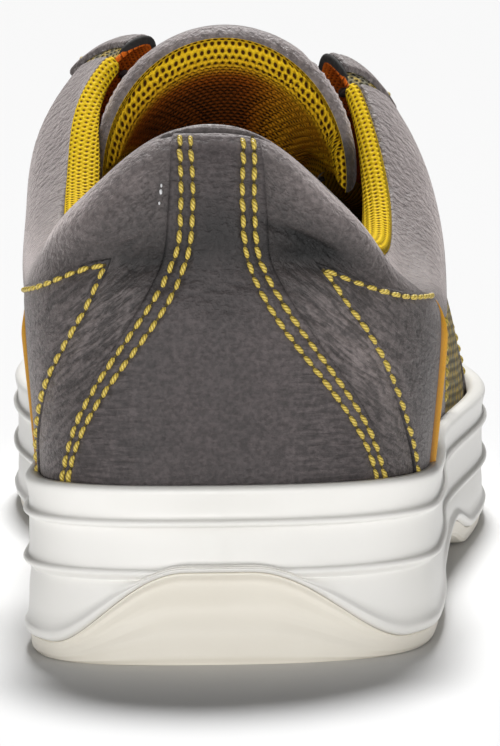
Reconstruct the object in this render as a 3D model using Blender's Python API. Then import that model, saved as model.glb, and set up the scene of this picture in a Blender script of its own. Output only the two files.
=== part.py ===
"""Right low safety shoe: a lasted leather upper on a two-layer moulded sole, with a padded collar,
a padded tongue, an insole and a crossed lace.

The functions work in millimetres, with Y from the back of the heel to the toe, X to the outer side of
the foot and Z up from the floor.  The meshes are in metres, centred on the shoe.
"""

import math
from collections import namedtuple

import bmesh
import bpy
import numpy as np
from mathutils import Vector
from mathutils.bvhtree import BVHTree

MM = 0.001
LENGTH = 302.0  # sole, heel to toe
GAP = 0.3  # between pieces that touch
AROUND = 72  # points round the shoe
TINY = 0.001

# Sole
LIP_INSET = 3.6  # upper's foot line, inside the sole's edge
PLATE = 6.0  # outsole thickness inside the tread
PLATE_INSET = 9.0  # where the outsole's upturned rim ends
RIM_HEIGHT = 3.4  # outsole rim along the sides
WAVE_HEIGHT = 13.9  # extra height of the rim at the back of the heel
WAVE_FLAT = 6.0  # along the edge, from the back seam to where the wave falls
WAVE_REACH = 38.5  # along the edge, from the back seam to the foot of the wave
WAVE_SKEW = 1.8  # the wave reaches this much further on the outer side, and less on the inner
HEEL_TURN = 5.0  # degrees the heel end is turned outward
HEEL_TURN_LENGTH = 110.0
HEEL_CAP = 32.0  # length of the rounded heel end
TOE_CAP = 84.0  # length of the rounded toe end
HEEL_SQUARE = 2.8  # superellipse power of the heel end
TOE_SQUARE = 2.35  # superellipse power of the toe end
HEEL_BEVEL = 0.6
HEEL_BEVEL_LENGTH = 12.0
ARCH_RISE = 5.5
ARCH_FROM = 88.0
ARCH_TO = 158.0
TOE_SPRING = 11.0
SPRING_FROM = 226.0
GROOVE_WIDTH = 4.6
GROOVE_DEPTH = 3.4
GROOVE_BOW = 6.0
GROOVE_MARGIN = 13.0  # groove end to the sole's edge
HEEL_GROOVES = (26.0, 40.0, 54.0, 68.0)
FOREFOOT_GROOVES = (166.0, 180.0, 194.0, 208.0, 222.0, 236.0, 250.0, 264.0)

# Upper
WALL = 2.2
INSOLE = 4.5
BULGE_START = 1.1  # power of the height where the side swells
BULGE_END = 12.0  # power of the height where the swell turns in to the rim

# Padded pieces
PAD_FROM = 0.44  # share of the side's length above which the collar padding lies
PAD_FOOT = 1.6  # padding thickness at its lower edge
PAD_RIM_CLEAR = 0.5  # extra room under the rolled rim
PAD_SWELL = 3.0
PAD_END = 74.0  # angle of the padding's front ends
TONGUE_EDGE = 4.0
TONGUE_MIDDLE = 8.0

# Lace
LACE = 1.8  # radius
LACE_LIFT = 1.25  # lifted this many radii where it lies on a slope
EYELET_INSET = 9.5
EYELET_STATIONS = (172.0, 160.5, 149.0, 137.5, 126.0)  # Y of the throat edge beside each eyelet

# Plan of the sole: middle line and half width at stations from the heel.
Plan = namedtuple("Plan", "station centre half_width")
PLAN = (
    Plan(0, -4.4, 38.0),
    Plan(30, -1.8, 39.2),
    Plan(60, -0.2, 40.0),
    Plan(90, 1.2, 39.8),
    Plan(120, 3.4, 41.0),
    Plan(150, 3.6, 45.6),
    Plan(185, 1.9, 52.2),
    Plan(212, 0.2, 54.6),
    Plan(240, -2.0, 54.0),
    Plan(270, -4.8, 52.0),
    Plan(302, -8.0, 48.0),
)

# Heights along the sole: top of the lip and the ledge under the upper.
Level = namedtuple("Level", "station lip ledge")
LEVEL = (
    Level(0, 33.4, 25.4),
    Level(60, 33.2, 25.2),
    Level(120, 32.0, 22.5),
    Level(180, 31.0, 18.5),
    Level(230, 31.4, 18.0),
    Level(270, 34.0, 20.5),
    Level(302, 37.5, 24.0),
)

# Outer wall of the midsole: drop below the lip and inset from the plan outline.
Wall = namedtuple("Wall", "drop inset")
WALLS = (
    Wall(14.2, 1.3),
    Wall(12.8, -0.3),
    Wall(11.6, 0.7),
    Wall(8.0, 0.7),
    Wall(6.8, -0.3),
    Wall(5.6, 0.8),
    Wall(1.4, 0.2),
    Wall(0.0, 1.0),
)

# The upper's ribs of form: each runs from the foot line at this angle round the shoe (0 back seam,
# 90 outer side, 180 toe, -90 inner side) up to its point on the rim of the collar and throat.
Rib = namedtuple("Rib", "angle rim_x rim_y rim_z fullness bulge slope")
RIBS = (
    Rib(-155, -9.6, 189.5, 76.2, 2.9, 0.0, 0.0),
    Rib(-132, -14.4, 184.0, 77.8, 2.6, 0.5, 0.0),
    Rib(-115, -17.6, 170.0, 83.5, 2.35, 1.0, 0.0),
    Rib(-103, -18.8, 150.0, 93.5, 2.2, 3.0, 0.0),
    Rib(-94, -19.0, 130.0, 103.5, 2.4, 5.0, 0.0),
    Rib(-87, -19.4, 116.0, 112.2, 3.0, 8.0, 0.0),
    Rib(-81, -26.4, 107.0, 109.8, 3.6, 11.5, 0.0),
    Rib(-75, -33.2, 96.0, 101.0, 4.2, 14.2, 0.0),
    Rib(-67, -35.4, 83.0, 88.8, 4.4, 13.0, 0.0),
    Rib(-58, -35.0, 66.0, 80.3, 4.2, 10.8, 1.0),
    Rib(-48, -33.5, 46.0, 79.0, 4.0, 8.0, 3.0),
    Rib(-35, -30.2, 29.0, 82.8, 3.4, 5.4, 4.0),
    Rib(-20, -22.6, 16.4, 89.8, 2.9, 4.2, 1.5),
    Rib(-10, -14.6, 11.6, 96.3, 2.6, 3.2, 0.0),
    Rib(0, -5.0, 10.5, 98.6, 2.5, 3.0, 0.0),
    Rib(10, 4.4, 12.4, 95.7, 2.6, 3.2, 1.5),
    Rib(20, 12.6, 18.0, 89.2, 2.9, 4.2, 5.5),
    Rib(35, 20.8, 30.5, 79.8, 3.4, 5.2, 9.0),
    Rib(48, 25.4, 46.0, 74.6, 4.0, 6.0, 7.5),
    Rib(58, 27.6, 66.0, 74.8, 4.2, 5.9, 4.0),
    Rib(67, 27.2, 83.0, 82.8, 3.8, 5.8, 1.0),
    Rib(75, 24.9, 96.0, 95.0, 3.0, 3.4, 0.0),
    Rib(81, 21.2, 107.0, 104.5, 2.25, 1.2, 0.0),
    Rib(87, 16.4, 116.0, 108.8, 2.0, 0.5, 0.0),
    Rib(94, 14.6, 130.0, 101.8, 1.92, 0.5, 0.0),
    Rib(103, 12.4, 150.0, 92.2, 1.95, 0.5, 0.0),
    Rib(115, 9.4, 170.0, 82.6, 2.05, 0.5, 0.0),
    Rib(132, 4.8, 184.0, 77.4, 2.35, 0.2, 0.0),
    Rib(155, -0.3, 189.5, 76.0, 2.8, 0.0, 0.0),
    Rib(180, -5.0, 190.6, 75.9, 3.0, 0.0, 0.0),
)

# Tongue: ridge of its outer face, half width and arch height, from the vamp to its top edge.
Fold = namedtuple("Fold", "share ridge_x ridge_y ridge_z half_width arch lean")
FOLDS = (
    Fold(0.00, -5.2, 201.0, 71.4, 13.0, 3.0, 0.0),
    Fold(0.22, -5.0, 178.0, 77.0, 16.5, 7.0, 2.0),
    Fold(0.45, -4.6, 153.0, 89.0, 20.0, 12.0, 4.0),
    Fold(0.68, -4.0, 128.0, 101.4, 23.0, 19.0, 6.0),
    Fold(0.85, -4.0, 110.0, 110.2, 26.0, 26.0, 6.0),
    Fold(1.00, -4.2, 96.0, 115.4, 27.0, 30.0, 5.0),
)

# Colour and roughness of each material.
Finish = namedtuple("Finish", "colour roughness")
FINISHES = {
    "cream_tread": Finish((0.78, 0.74, 0.63), 0.55),
    "white_sole": Finish((0.86, 0.85, 0.83), 0.45),
    "grey_leather": Finish((0.30, 0.28, 0.28), 0.65),
    "yellow_lining": Finish((0.80, 0.55, 0.05), 0.80),
    "dark_footbed": Finish((0.10, 0.10, 0.10), 0.85),
    "grey_lace": Finish((0.22, 0.21, 0.21), 0.75),
}


def column(rows, name):
    """One column of a table as an array."""
    return np.array([getattr(row, name) for row in rows], float)


def spline(knots, values, at):
    """Natural cubic spline through the knots: each span is a cubic, and slope and bend run on."""
    count = len(knots)
    step = np.diff(knots)
    rise = np.diff(values) / step
    system = np.eye(count)
    right = np.zeros(count)
    for i in range(1, count - 1):
        system[i, i - 1:i + 2] = step[i - 1], 2 * (step[i - 1] + step[i]), step[i]
        right[i] = 6 * (rise[i] - rise[i - 1])
    bend = np.linalg.solve(system, right)
    span = np.clip(np.searchsorted(knots, at) - 1, 0, count - 2)
    past = at - knots[span]
    width = step[span]
    slope = rise[span] - width * (2 * bend[span] + bend[span + 1]) / 6
    cube = (bend[span + 1] - bend[span]) / (6 * width)
    return values[span] + past * (slope + past * (bend[span] / 2 + past * cube))


def along(rows, name, station):
    """A column of a table of stations at any distance from the heel."""
    return spline(column(rows, "station"), column(rows, name), station)


def round_shoe(name, angle):
    """A column of the rib table at any angle: a spline over three turns, so it closes smoothly."""
    turn = column(RIBS, "angle")
    value = column(RIBS, name)
    knots = np.concatenate([turn - 360, turn, turn + 360])
    degrees = (np.degrees(angle) + 180) % 360 - 180
    return spline(knots, np.tile(value, 3), degrees)


def station(angle):
    """Distance from the heel at an angle: half the length times one less the cosine."""
    return LENGTH / 2 * (1 - np.cos(angle))


def end_cap(distance, length, power):
    """Width share near a rounded end: a quarter superellipse of this length and power."""
    left = np.clip(1 - distance / length, 0, 1)
    return (1 - left ** power) ** (1 / power)


def outline(angle):
    """Plan of the sole: middle line plus or minus the half width, narrowed at heel and toe.

    Near the heel each point moves along Y by its side distance times the heel's turn.
    """
    y = station(angle)
    half = along(PLAN, "half_width", y)
    half = half * end_cap(y, HEEL_CAP, HEEL_SQUARE) * end_cap(LENGTH - y, TOE_CAP, TOE_SQUARE)
    side = np.sign(np.sin(angle)) * half
    turn = math.tan(math.radians(HEEL_TURN)) * np.clip(1 - y / HEEL_TURN_LENGTH, 0, 1) ** 2
    return np.stack([along(PLAN, "centre", y) + side, y + side * turn], -1)


def outward(angle):
    """Unit direction out of the plan outline: its tangent turned a quarter to the right."""
    run = outline(angle + TINY) - outline(angle - TINY)
    out = np.stack([run[..., 1], -run[..., 0]], -1)
    return out / np.linalg.norm(out, axis=-1, keepdims=True)


def ring(angle, inset, height):
    """Loop of points round the shoe, inset from the plan outline, at these heights."""
    plan = outline(angle) - outward(angle) * np.broadcast_to(inset, angle.shape)[:, None]
    return np.column_stack([plan, np.broadcast_to(height, angle.shape)])


def angles_round():
    """Angles for even steps along the edge, the same on both sides of the shoe."""
    dense = np.linspace(0, math.pi, 2000)
    sides = [outline(dense), outline(2 * math.pi - dense)]
    steps = sum(np.linalg.norm(np.diff(side, axis=0), axis=1) for side in sides)
    run = np.concatenate([[0], np.cumsum(steps)])
    half = np.interp(np.linspace(0, run[-1], AROUND // 2 + 1), run, dense)
    return np.concatenate([half, 2 * math.pi - half[-2:0:-1]])


def edge_distance(angle):
    """Distance along the sole's edge from the back seam, less than half way round."""
    dense = np.linspace(0, math.pi, 2000)
    turned = np.abs((angle + math.pi) % (2 * math.pi) - math.pi)
    points = outline(dense)
    run = np.concatenate([[0], np.cumsum(np.linalg.norm(np.diff(points, axis=0), axis=1))])
    return np.interp(turned, dense, run)


def bottom(angle):
    """Underside of the tread: bevel at the heel, raised arch, flat ball and spring at the toe."""
    y = station(angle)
    bevel = HEEL_BEVEL * np.clip(1 - y / HEEL_BEVEL_LENGTH, 0, 1) ** 2
    arch = ARCH_RISE * np.sin(math.pi * np.clip((y - ARCH_FROM) / (ARCH_TO - ARCH_FROM), 0, 1)) ** 2
    spring = TOE_SPRING * (np.clip(y - SPRING_FROM, 0, None) / (LENGTH - SPRING_FROM)) ** 2
    return bevel + arch + spring


def wave(angle):
    """Share of the wave at the back of the outsole: a cosine fall on each side of a flat top."""
    reach = WAVE_REACH + WAVE_SKEW * np.sign(np.sin(angle))
    fall = np.clip((edge_distance(angle) - WAVE_FLAT) / (reach - WAVE_FLAT), 0, 1)
    return 0.5 + 0.5 * np.cos(math.pi * fall)


def rim_top(angle):
    """Top edge of the outsole: a low rim that follows the tread, and the wave at the back."""
    tread = bottom(angle) * (station(angle) > ARCH_FROM)
    return RIM_HEIGHT + WAVE_HEIGHT * wave(angle) + tread


def lip(angle):
    return along(LEVEL, "lip", station(angle))


def ledge(angle):
    return along(LEVEL, "ledge", station(angle))


def side_curve(angle, turn):
    """The upper's side at an angle: a superellipse from the foot line to the rim, with a swell.

    Between foot line and rim it is lowered by the rib's slope times a parabola of the way inward.
    """
    power = round_shoe("fullness", angle)[:, None]
    reach = (np.cos(turn)[None] ** power + np.sin(turn)[None] ** power) ** (-1 / power)
    inward = 1 - np.cos(turn)[None] * reach
    height = np.sin(turn)[None] * reach
    swell = round_shoe("bulge", angle)[:, None] * height ** BULGE_START * (1 - height ** BULGE_END)
    foot = ring(angle, LIP_INSET, ledge(angle) + GAP)
    rim = np.stack([round_shoe(name, angle) for name in ("rim_x", "rim_y", "rim_z")], -1)
    out = np.column_stack([outward(angle), np.zeros(len(angle))])
    share = np.stack([inward, inward, height], -1)
    curve = foot[:, None] + (rim - foot)[:, None] * share + out[:, None] * swell[..., None]
    curve[..., 2] -= round_shoe("slope", angle)[:, None] * 4 * inward * (1 - inward)
    return curve


def side_points(angle, share):
    """Grid of points on the upper's outer face: share is the part of the side's length, 0 to 1."""
    dense = side_curve(angle, np.linspace(0, math.pi / 2, 160))
    steps = np.linalg.norm(np.diff(dense, axis=1), axis=2)
    run = np.concatenate([np.zeros((len(angle), 1)), np.cumsum(steps, axis=1)], axis=1)
    run = run / run[:, -1:]
    grid = np.empty((len(angle), len(share), 3))
    for i in range(len(angle)):
        for axis in range(3):
            grid[i, :, axis] = np.interp(share, run[i], dense[i, :, axis])
    return grid


def side_normals(angle, share):
    """Outward normals of the upper's face: the cross product of its two directions."""
    step = 0.004
    round_run = side_points(angle + step, share) - side_points(angle - step, share)
    upper_share = np.clip(share + step, 0, 1)
    lower_share = np.clip(share - step, 0, 1)
    up_run = side_points(angle, upper_share) - side_points(angle, lower_share)
    normal = np.cross(round_run, up_run)
    return normal / np.linalg.norm(normal, axis=-1, keepdims=True)


def side_shares():
    """Shares of the side's length where the faceted upper has its loops, closer at the rolled rim."""
    return np.concatenate([np.linspace(0, 0.8, 8), [0.88, 0.94, 1.0]])


def side_layer(angle, share, depth):
    """The upper's face moved this far inward along its normals."""
    return side_points(angle, share) - side_normals(angle, share) * depth


def centre_shift():
    """Moves the shoe's box to stand on the middle of its bottom."""
    points = outline(np.linspace(0, 2 * math.pi, 4000))
    low, high = points.min(axis=0), points.max(axis=0)
    return np.array([-(low[0] + high[0]) / 2, -(low[1] + high[1]) / 2, 0])


def finish(name):
    """Principled material from the table of finishes."""
    material = bpy.data.materials.get(name)
    if material is None:
        material = bpy.data.materials.new(name)
        material.use_nodes = True
        shader = material.node_tree.nodes["Principled BSDF"]
        shader.inputs["Base Color"].default_value = (*FINISHES[name].colour, 1)
        shader.inputs["Roughness"].default_value = FINISHES[name].roughness
    return material


def add_solid(name, rings, faces, material, root):
    """Closed mesh object from loops of points and faces between them."""
    points = (rings.reshape(-1, 3) + centre_shift()) * MM
    mesh = bpy.data.meshes.new(name)
    mesh.from_pydata(points.tolist(), [], faces)
    form = bmesh.new()
    form.from_mesh(mesh)
    bmesh.ops.recalc_face_normals(form, faces=form.faces)
    if form.calc_volume(signed=True) < 0:
        bmesh.ops.reverse_faces(form, faces=form.faces)
    form.to_mesh(mesh)
    form.free()
    mesh.materials.append(finish(material))
    part = bpy.data.objects.new(name, mesh)
    bpy.context.collection.objects.link(part)
    part.parent = root
    return part


def band(loops, count, closed):
    """Triangles between each loop and the next, and from the last to the first where it is closed."""
    faces = []
    for loop in range(loops if closed else loops - 1):
        here = loop * count
        there = (loop + 1) % loops * count
        for i in range(count):
            j = (i + 1) % count
            faces.append((here + i, here + j, there + j))
            faces.append((here + i, there + j, there + i))
    return faces


def ladder(first, count):
    """Closes a loop round the shoe with rungs from the outer side to the inner side."""
    faces = []
    for i in range(count // 2):
        outer, next_outer = first + i, first + i + 1
        inner, next_inner = first + (count - i) % count, first + count - i - 1
        if next_outer != next_inner:
            faces.append((outer, next_outer, next_inner))
        if outer != inner:
            faces.append((outer, next_inner, inner))
    return faces


def stacked_solid(name, loops, material, root):
    """Solid between loops stacked round the shoe, closed below the first and above the last."""
    count = loops[0].shape[0]
    faces = band(len(loops), count, False)
    faces += ladder(0, count)
    faces += ladder((len(loops) - 1) * count, count)
    return add_solid(name, np.array(loops), faces, material, root)


def lofted_solid(name, sections, material, root):
    """Solid through closed sections, ended by its first and last section."""
    count = sections.shape[1]
    faces = band(len(sections), count, False)
    faces.append(tuple(range(count)))
    faces.append(tuple(range((len(sections) - 1) * count, len(sections) * count)))
    return add_solid(name, sections, faces, material, root)


def make_outsole(root):
    """Tread layer: bottom edge, rounded corner, rim under the midsole and the plate inside it."""
    angle = angles_round()
    under = bottom(angle)
    top = rim_top(angle)
    back = wave(angle)
    plate = bottom(angle) * (station(angle) > ARCH_FROM) + PLATE
    loops = [
        ring(angle, 2.8 - 0.6 * back, under),
        ring(angle, 1.6 + 0.8 * back, under + 1.6),
        ring(angle, 1.1 + 1.6 * back, (under + 1.6 + top) / 2),
        ring(angle, 1.0, top),
        ring(angle, PLATE_INSET, plate),
    ]
    part = stacked_solid("outsole", loops, "cream_tread", root)
    cut = part.modifiers.new("tread grooves", "BOOLEAN")
    cut.operation = "DIFFERENCE"
    cut.solver = "EXACT"
    cut.object = make_grooves(root)
    return part


def make_grooves(root):
    """Cutter for the lugs: bowed bars across the tread, one body for each groove."""
    loops = []
    faces = []
    for y in HEEL_GROOVES + FOREFOOT_GROOVES:
        across = np.linspace(-1, 1, 7)
        angle = math.acos(1 - 2 * y / LENGTH)
        sides = outline(np.array([-angle, angle]))[:, 0] + np.array([GROOVE_MARGIN, -GROOVE_MARGIN])
        middle, half = sides.mean(), (sides[1] - sides[0]) / 2
        line = y + GROOVE_BOW * (0.5 - across ** 2)
        level = bottom(np.arccos(1 - 2 * line / LENGTH))
        corners = ((-1, -2.0), (1, -2.0), (1, GROOVE_DEPTH), (-1, GROOVE_DEPTH))
        bar = [np.column_stack([middle + half * across, line + side * GROOVE_WIDTH / 2, level + rise])
               for side, rise in corners]
        bar = np.stack(bar, axis=1)
        first = sum(len(loop) for loop in loops)
        loops.append(bar.reshape(-1, 3))
        new_faces = band(7, 4, False) + [(0, 1, 2, 3), (24, 25, 26, 27)]
        faces += [tuple(first + i for i in face) for face in new_faces]
    cutter = add_solid("tread_grooves", np.concatenate(loops), faces, "cream_tread", root)
    cutter.hide_render = True
    cutter.hide_set(True)
    return cutter


def make_midsole(root):
    """Cup: underside over the outsole, ribbed wall, lip, and an inner wall that follows the upper."""
    angle = angles_round()
    top = lip(angle)
    plate = bottom(angle) * (station(angle) > ARCH_FROM) + PLATE
    split = rim_top(angle) + 1.6 * GAP
    loops = [
        ring(angle, PLATE_INSET, plate + GAP),
        ring(angle, 0.9, split),
        ring(angle, 0.3, split + 0.5),
    ]
    loops += [ring(angle, row.inset, top - row.drop) for row in WALLS]
    outer = side_layer(angle, np.linspace(0, 1, 201), -GAP)
    for level in (top, (top + ledge(angle)) / 2, ledge(angle)):
        loops.append(at_height(outer, level))
    loops.append(ring(angle, LIP_INSET + WALL, ledge(angle)))
    return stacked_solid("midsole", loops[::-1], "white_sole", root)


def at_height(grid, level):
    """Loop of points on a grid of rising curves where each reaches its height."""
    points = np.empty((len(grid), 3))
    for i in range(len(grid)):
        for axis in range(3):
            points[i, axis] = np.interp(level[i], grid[i, :, 2], grid[i, :, axis])
        points[i, 2] = level[i]
    return points


def make_upper(root):
    """Hollow shell: the outer face from foot line to rim, and back down the inner face."""
    angle = angles_round()
    share = side_shares()
    outer = side_points(angle, share)
    inner = side_layer(angle, share, WALL)
    inner[:, 0, 2] = outer[:, 0, 2]
    loops = np.concatenate([outer, inner[:, ::-1]], axis=1).transpose(1, 0, 2)
    faces = band(len(loops), len(angle), True)
    return add_solid("upper", loops, faces, "grey_leather", root)


def make_insole(root):
    """Footbed that fills the upper's inner face from the ledge up, with rounded edges."""
    angle = angles_round()
    level = ledge(angle) + GAP
    inner = side_layer(angle, np.linspace(0, 0.4, 81), WALL + 2 * GAP)
    low, high = at_height(inner, level + 0.8), at_height(inner, level + INSOLE - 1.0)
    inset = LIP_INSET + WALL + 2 * GAP
    loops = [
        ring(angle, inset + 1.2, level),
        low,
        high,
        ring(angle, inset + 1.8, level + INSOLE),
    ]
    return stacked_solid("insole", loops, "dark_footbed", root)


def make_collar_padding(root):
    """Padded ring: outside it follows the upper's inner face, inside it swells toward the foot."""
    angle = np.sort((angles_round() + math.pi) % (2 * math.pi) - math.pi)
    angle = angle[np.abs(angle) < math.radians(PAD_END)]
    share = side_shares()
    share = share[share > PAD_FROM]
    clear = WALL + GAP + PAD_RIM_CLEAR * (share == 1)
    outer = side_layer(angle, share, clear[:, None])
    foot = side_layer(angle, share[:1], WALL + GAP + PAD_FOOT)[:, 0]
    edge = outer[:, -1]
    inward = -np.column_stack([outward(angle), np.zeros(len(angle))])
    down = np.array([0, 0, -1.0])
    drop = (edge[:, 2] - foot[:, 2])[:, None]
    upper_pull = edge + down * drop * 0.35 + inward * PAD_SWELL
    lower_pull = foot - down * drop * 0.35 + inward * PAD_SWELL * 0.5
    lining = []
    for t in np.linspace(1, 0, 8)[:-1]:
        weights = ((1 - t) ** 3, 3 * t * (1 - t) ** 2, 3 * t * t * (1 - t), t ** 3)
        pulls = (edge, upper_pull, lower_pull, foot)
        lining.append(sum(weight * pull for weight, pull in zip(weights, pulls)))
    sections = np.concatenate([outer[:, ::-1], np.stack(lining, axis=1)], axis=1)
    return lofted_solid("collar_padding", sections, "yellow_lining", root)


def make_tongue(root):
    """Padded arch: an elliptic outer face along the ridge, and an inner face one padding below."""
    share = np.linspace(0, 1, 15)
    across = np.linspace(-1, 1, 11)
    values = [spline(column(FOLDS, "share"), column(FOLDS, name), share) for name in Fold._fields[1:]]
    ridge_x, ridge_y, ridge_z, half, arch, lean = (value[:, None] for value in values)
    turn = across[None] * math.radians(84)
    outer = np.stack([
        ridge_x + half * np.sin(turn),
        ridge_y - lean * (1 - np.cos(turn)),
        ridge_z - arch * (1 - np.cos(turn)),
    ], -1)
    normal = np.cross(np.gradient(outer, axis=1), np.gradient(outer, axis=0))
    normal = normal / np.linalg.norm(normal, axis=-1, keepdims=True)
    normal = normal * np.sign(normal[:, 5:6, 2:])
    thick = TONGUE_EDGE + (TONGUE_MIDDLE - TONGUE_EDGE) * np.cos(across * math.pi / 2)[None]
    front = np.clip(share / 0.3, 0.35, 1)[:, None]
    inner = outer - normal * (thick * front)[..., None]
    sections = np.concatenate([outer, inner[:, ::-1]], axis=1)
    return lofted_solid("tongue", sections, "grey_leather", root)


def throat_angle(y, side):
    """Angle of the rib that ends on the throat edge at this distance from the heel."""
    turn = np.radians(np.linspace(87, 150, 400)) * side
    return np.interp(y, round_shoe("rim_y", turn), turn)


def eyelet(row, side, inset):
    """Point on the facing's outer face, this far from the throat edge."""
    angle = np.array([throat_angle(EYELET_STATIONS[row], side)])
    whole = side_points(angle, np.linspace(0, 1, 200))[0]
    run = np.concatenate([[0], np.cumsum(np.linalg.norm(np.diff(whole, axis=0), axis=1))])
    return np.array([np.interp(run[-1] - inset, run, whole[:, axis]) for axis in range(3)])


def taut(distance, height):
    """Height of a tight cord over a profile: the upper convex hull of its points."""
    kept = []
    for i in range(len(distance)):
        while len(kept) > 1:
            a, b = kept[-2], kept[-1]
            span = (distance[i] - distance[a]) * (height[b] - height[a])
            if span > (distance[b] - distance[a]) * (height[i] - height[a]):
                break
            kept.pop()
        kept.append(i)
    return np.interp(distance, distance[kept], height[kept])


def strand(start, end, trees):
    """Path of a lace from one point to another, drawn tight over the pieces below it."""
    count = 15
    path = np.linspace(start, end, count)
    lift = LACE * LACE_LIFT + GAP
    for i in range(count):
        above = Vector(((path[i] + centre_shift()) * MM)[:2].tolist() + [1.0])
        hits = [tree.ray_cast(above, Vector((0, 0, -1)))[0] for tree in trees]
        path[i, 2] = max(hit.z for hit in hits if hit is not None) / MM + lift
    distance = np.linalg.norm(path[:, :2] - path[0, :2], axis=1)
    path[:, 2] = taut(distance, path[:, 2])
    return path


def tube_sections(path):
    """Eight-sided sections of a cord along a path."""
    run = np.gradient(path, axis=0)
    run = run / np.linalg.norm(run, axis=1, keepdims=True)
    side = np.cross(run, np.array([0, 0, 1.0]))
    side = side / np.linalg.norm(side, axis=1, keepdims=True)
    up = np.cross(side, run)
    turn = np.linspace(0, 2 * math.pi, 8, endpoint=False)[None, :, None]
    return path[:, None] + LACE * (np.cos(turn) * side[:, None] + np.sin(turn) * up[:, None])


def make_lace(root, under):
    """A bar at the first eyelets, then a pair of crossing strands up to each next pair."""
    bpy.context.view_layer.update()
    graph = bpy.context.evaluated_depsgraph_get()
    trees = [BVHTree.FromObject(part, graph) for part in under]
    bar = strand(eyelet(0, -1, EYELET_INSET), eyelet(0, 1, EYELET_INSET), trees)
    lofted_solid("lace_bar", tube_sections(bar), "grey_lace", root)
    for row in range(len(EYELET_STATIONS) - 1):
        strands = []
        for side in (-1, 1):
            start = eyelet(row, side, 0.0)
            start[0] += -side * 2.2
            start[1] -= 3.0
            end = eyelet(row + 1, -side, EYELET_INSET)
            strands.append(tube_sections(strand(start, end, trees)))
        name = f"lace_cross_{row + 1}"
        part = lofted_solid(name, strands[0], "grey_lace", root)
        other = lofted_solid(f"{name}_second", strands[1], "grey_lace", root)
        other.hide_render = True
        other.hide_set(True)
        joined = part.modifiers.new("crossing", "BOOLEAN")
        joined.operation = "UNION"
        joined.solver = "EXACT"
        joined.object = other


def main():
    for part in list(bpy.data.objects):
        bpy.data.objects.remove(part)
    root = bpy.data.objects.new("shoe", None)
    bpy.context.collection.objects.link(root)
    make_outsole(root)
    make_midsole(root)
    make_insole(root)
    upper = make_upper(root)
    make_collar_padding(root)
    tongue = make_tongue(root)
    make_lace(root, [upper, tongue])


main()
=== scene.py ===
import math

import bpy
import bmesh
import numpy as np
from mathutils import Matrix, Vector
from mathutils.bvhtree import BVHTree


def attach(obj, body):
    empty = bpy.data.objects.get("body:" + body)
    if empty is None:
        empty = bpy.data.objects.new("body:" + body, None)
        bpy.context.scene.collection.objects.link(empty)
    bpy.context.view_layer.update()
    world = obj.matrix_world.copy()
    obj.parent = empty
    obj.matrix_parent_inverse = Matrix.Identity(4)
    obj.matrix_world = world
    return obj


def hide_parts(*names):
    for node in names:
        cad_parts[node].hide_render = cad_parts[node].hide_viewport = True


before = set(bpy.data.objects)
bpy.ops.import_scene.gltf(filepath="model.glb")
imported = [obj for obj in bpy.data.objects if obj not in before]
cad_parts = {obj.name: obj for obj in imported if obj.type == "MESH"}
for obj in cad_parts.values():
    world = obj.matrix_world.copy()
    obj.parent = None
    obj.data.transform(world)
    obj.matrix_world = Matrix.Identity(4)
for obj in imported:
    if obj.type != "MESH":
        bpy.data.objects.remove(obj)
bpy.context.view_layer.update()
mm = 0.001

# The last: sizes in mm, Y from the heel to the toe, X to the outer side, Z up from the floor
shoe = {
    "length": 302.0,
    "wall": 2.2,
    "gap": 0.3,
    "seamX": -5.0,  # the back seam
    "footInset": 3.6,  # foot line of the upper, inside the sole's edge
    "heelTurn": 5.0,  # degrees the heel end is turned outward
    "heelTurnLength": 110.0,
    "heelCap": 32.0,  # length of the rounded heel end, and its superellipse power
    "heelSquare": 2.8,
    "toeCap": 84.0,
    "toeSquare": 2.35,
    "bulgeStart": 1.1,
    "bulgeEnd": 12.0,
}
plan = {
    "station": (0, 30, 60, 90, 120, 150, 185, 212, 240, 270, 302),
    "centre": (-4.4, -1.8, -0.2, 1.2, 3.4, 3.6, 1.9, 0.2, -2.0, -4.8, -8.0),
    "halfWidth": (38.0, 39.2, 40.0, 39.8, 41.0, 45.6, 52.2, 54.6, 54.0, 52.0, 48.0),
}
levels = {
    "station": (0, 60, 120, 180, 230, 270, 302),
    "lip": (33.4, 33.2, 32.0, 31.0, 31.4, 34.0, 37.5),
    "ledge": (25.4, 25.2, 22.5, 18.5, 18.0, 20.5, 24.0),
}
ribColumns = ("angle", "rimX", "rimY", "rimZ", "fullness", "bulge", "slope")
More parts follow.
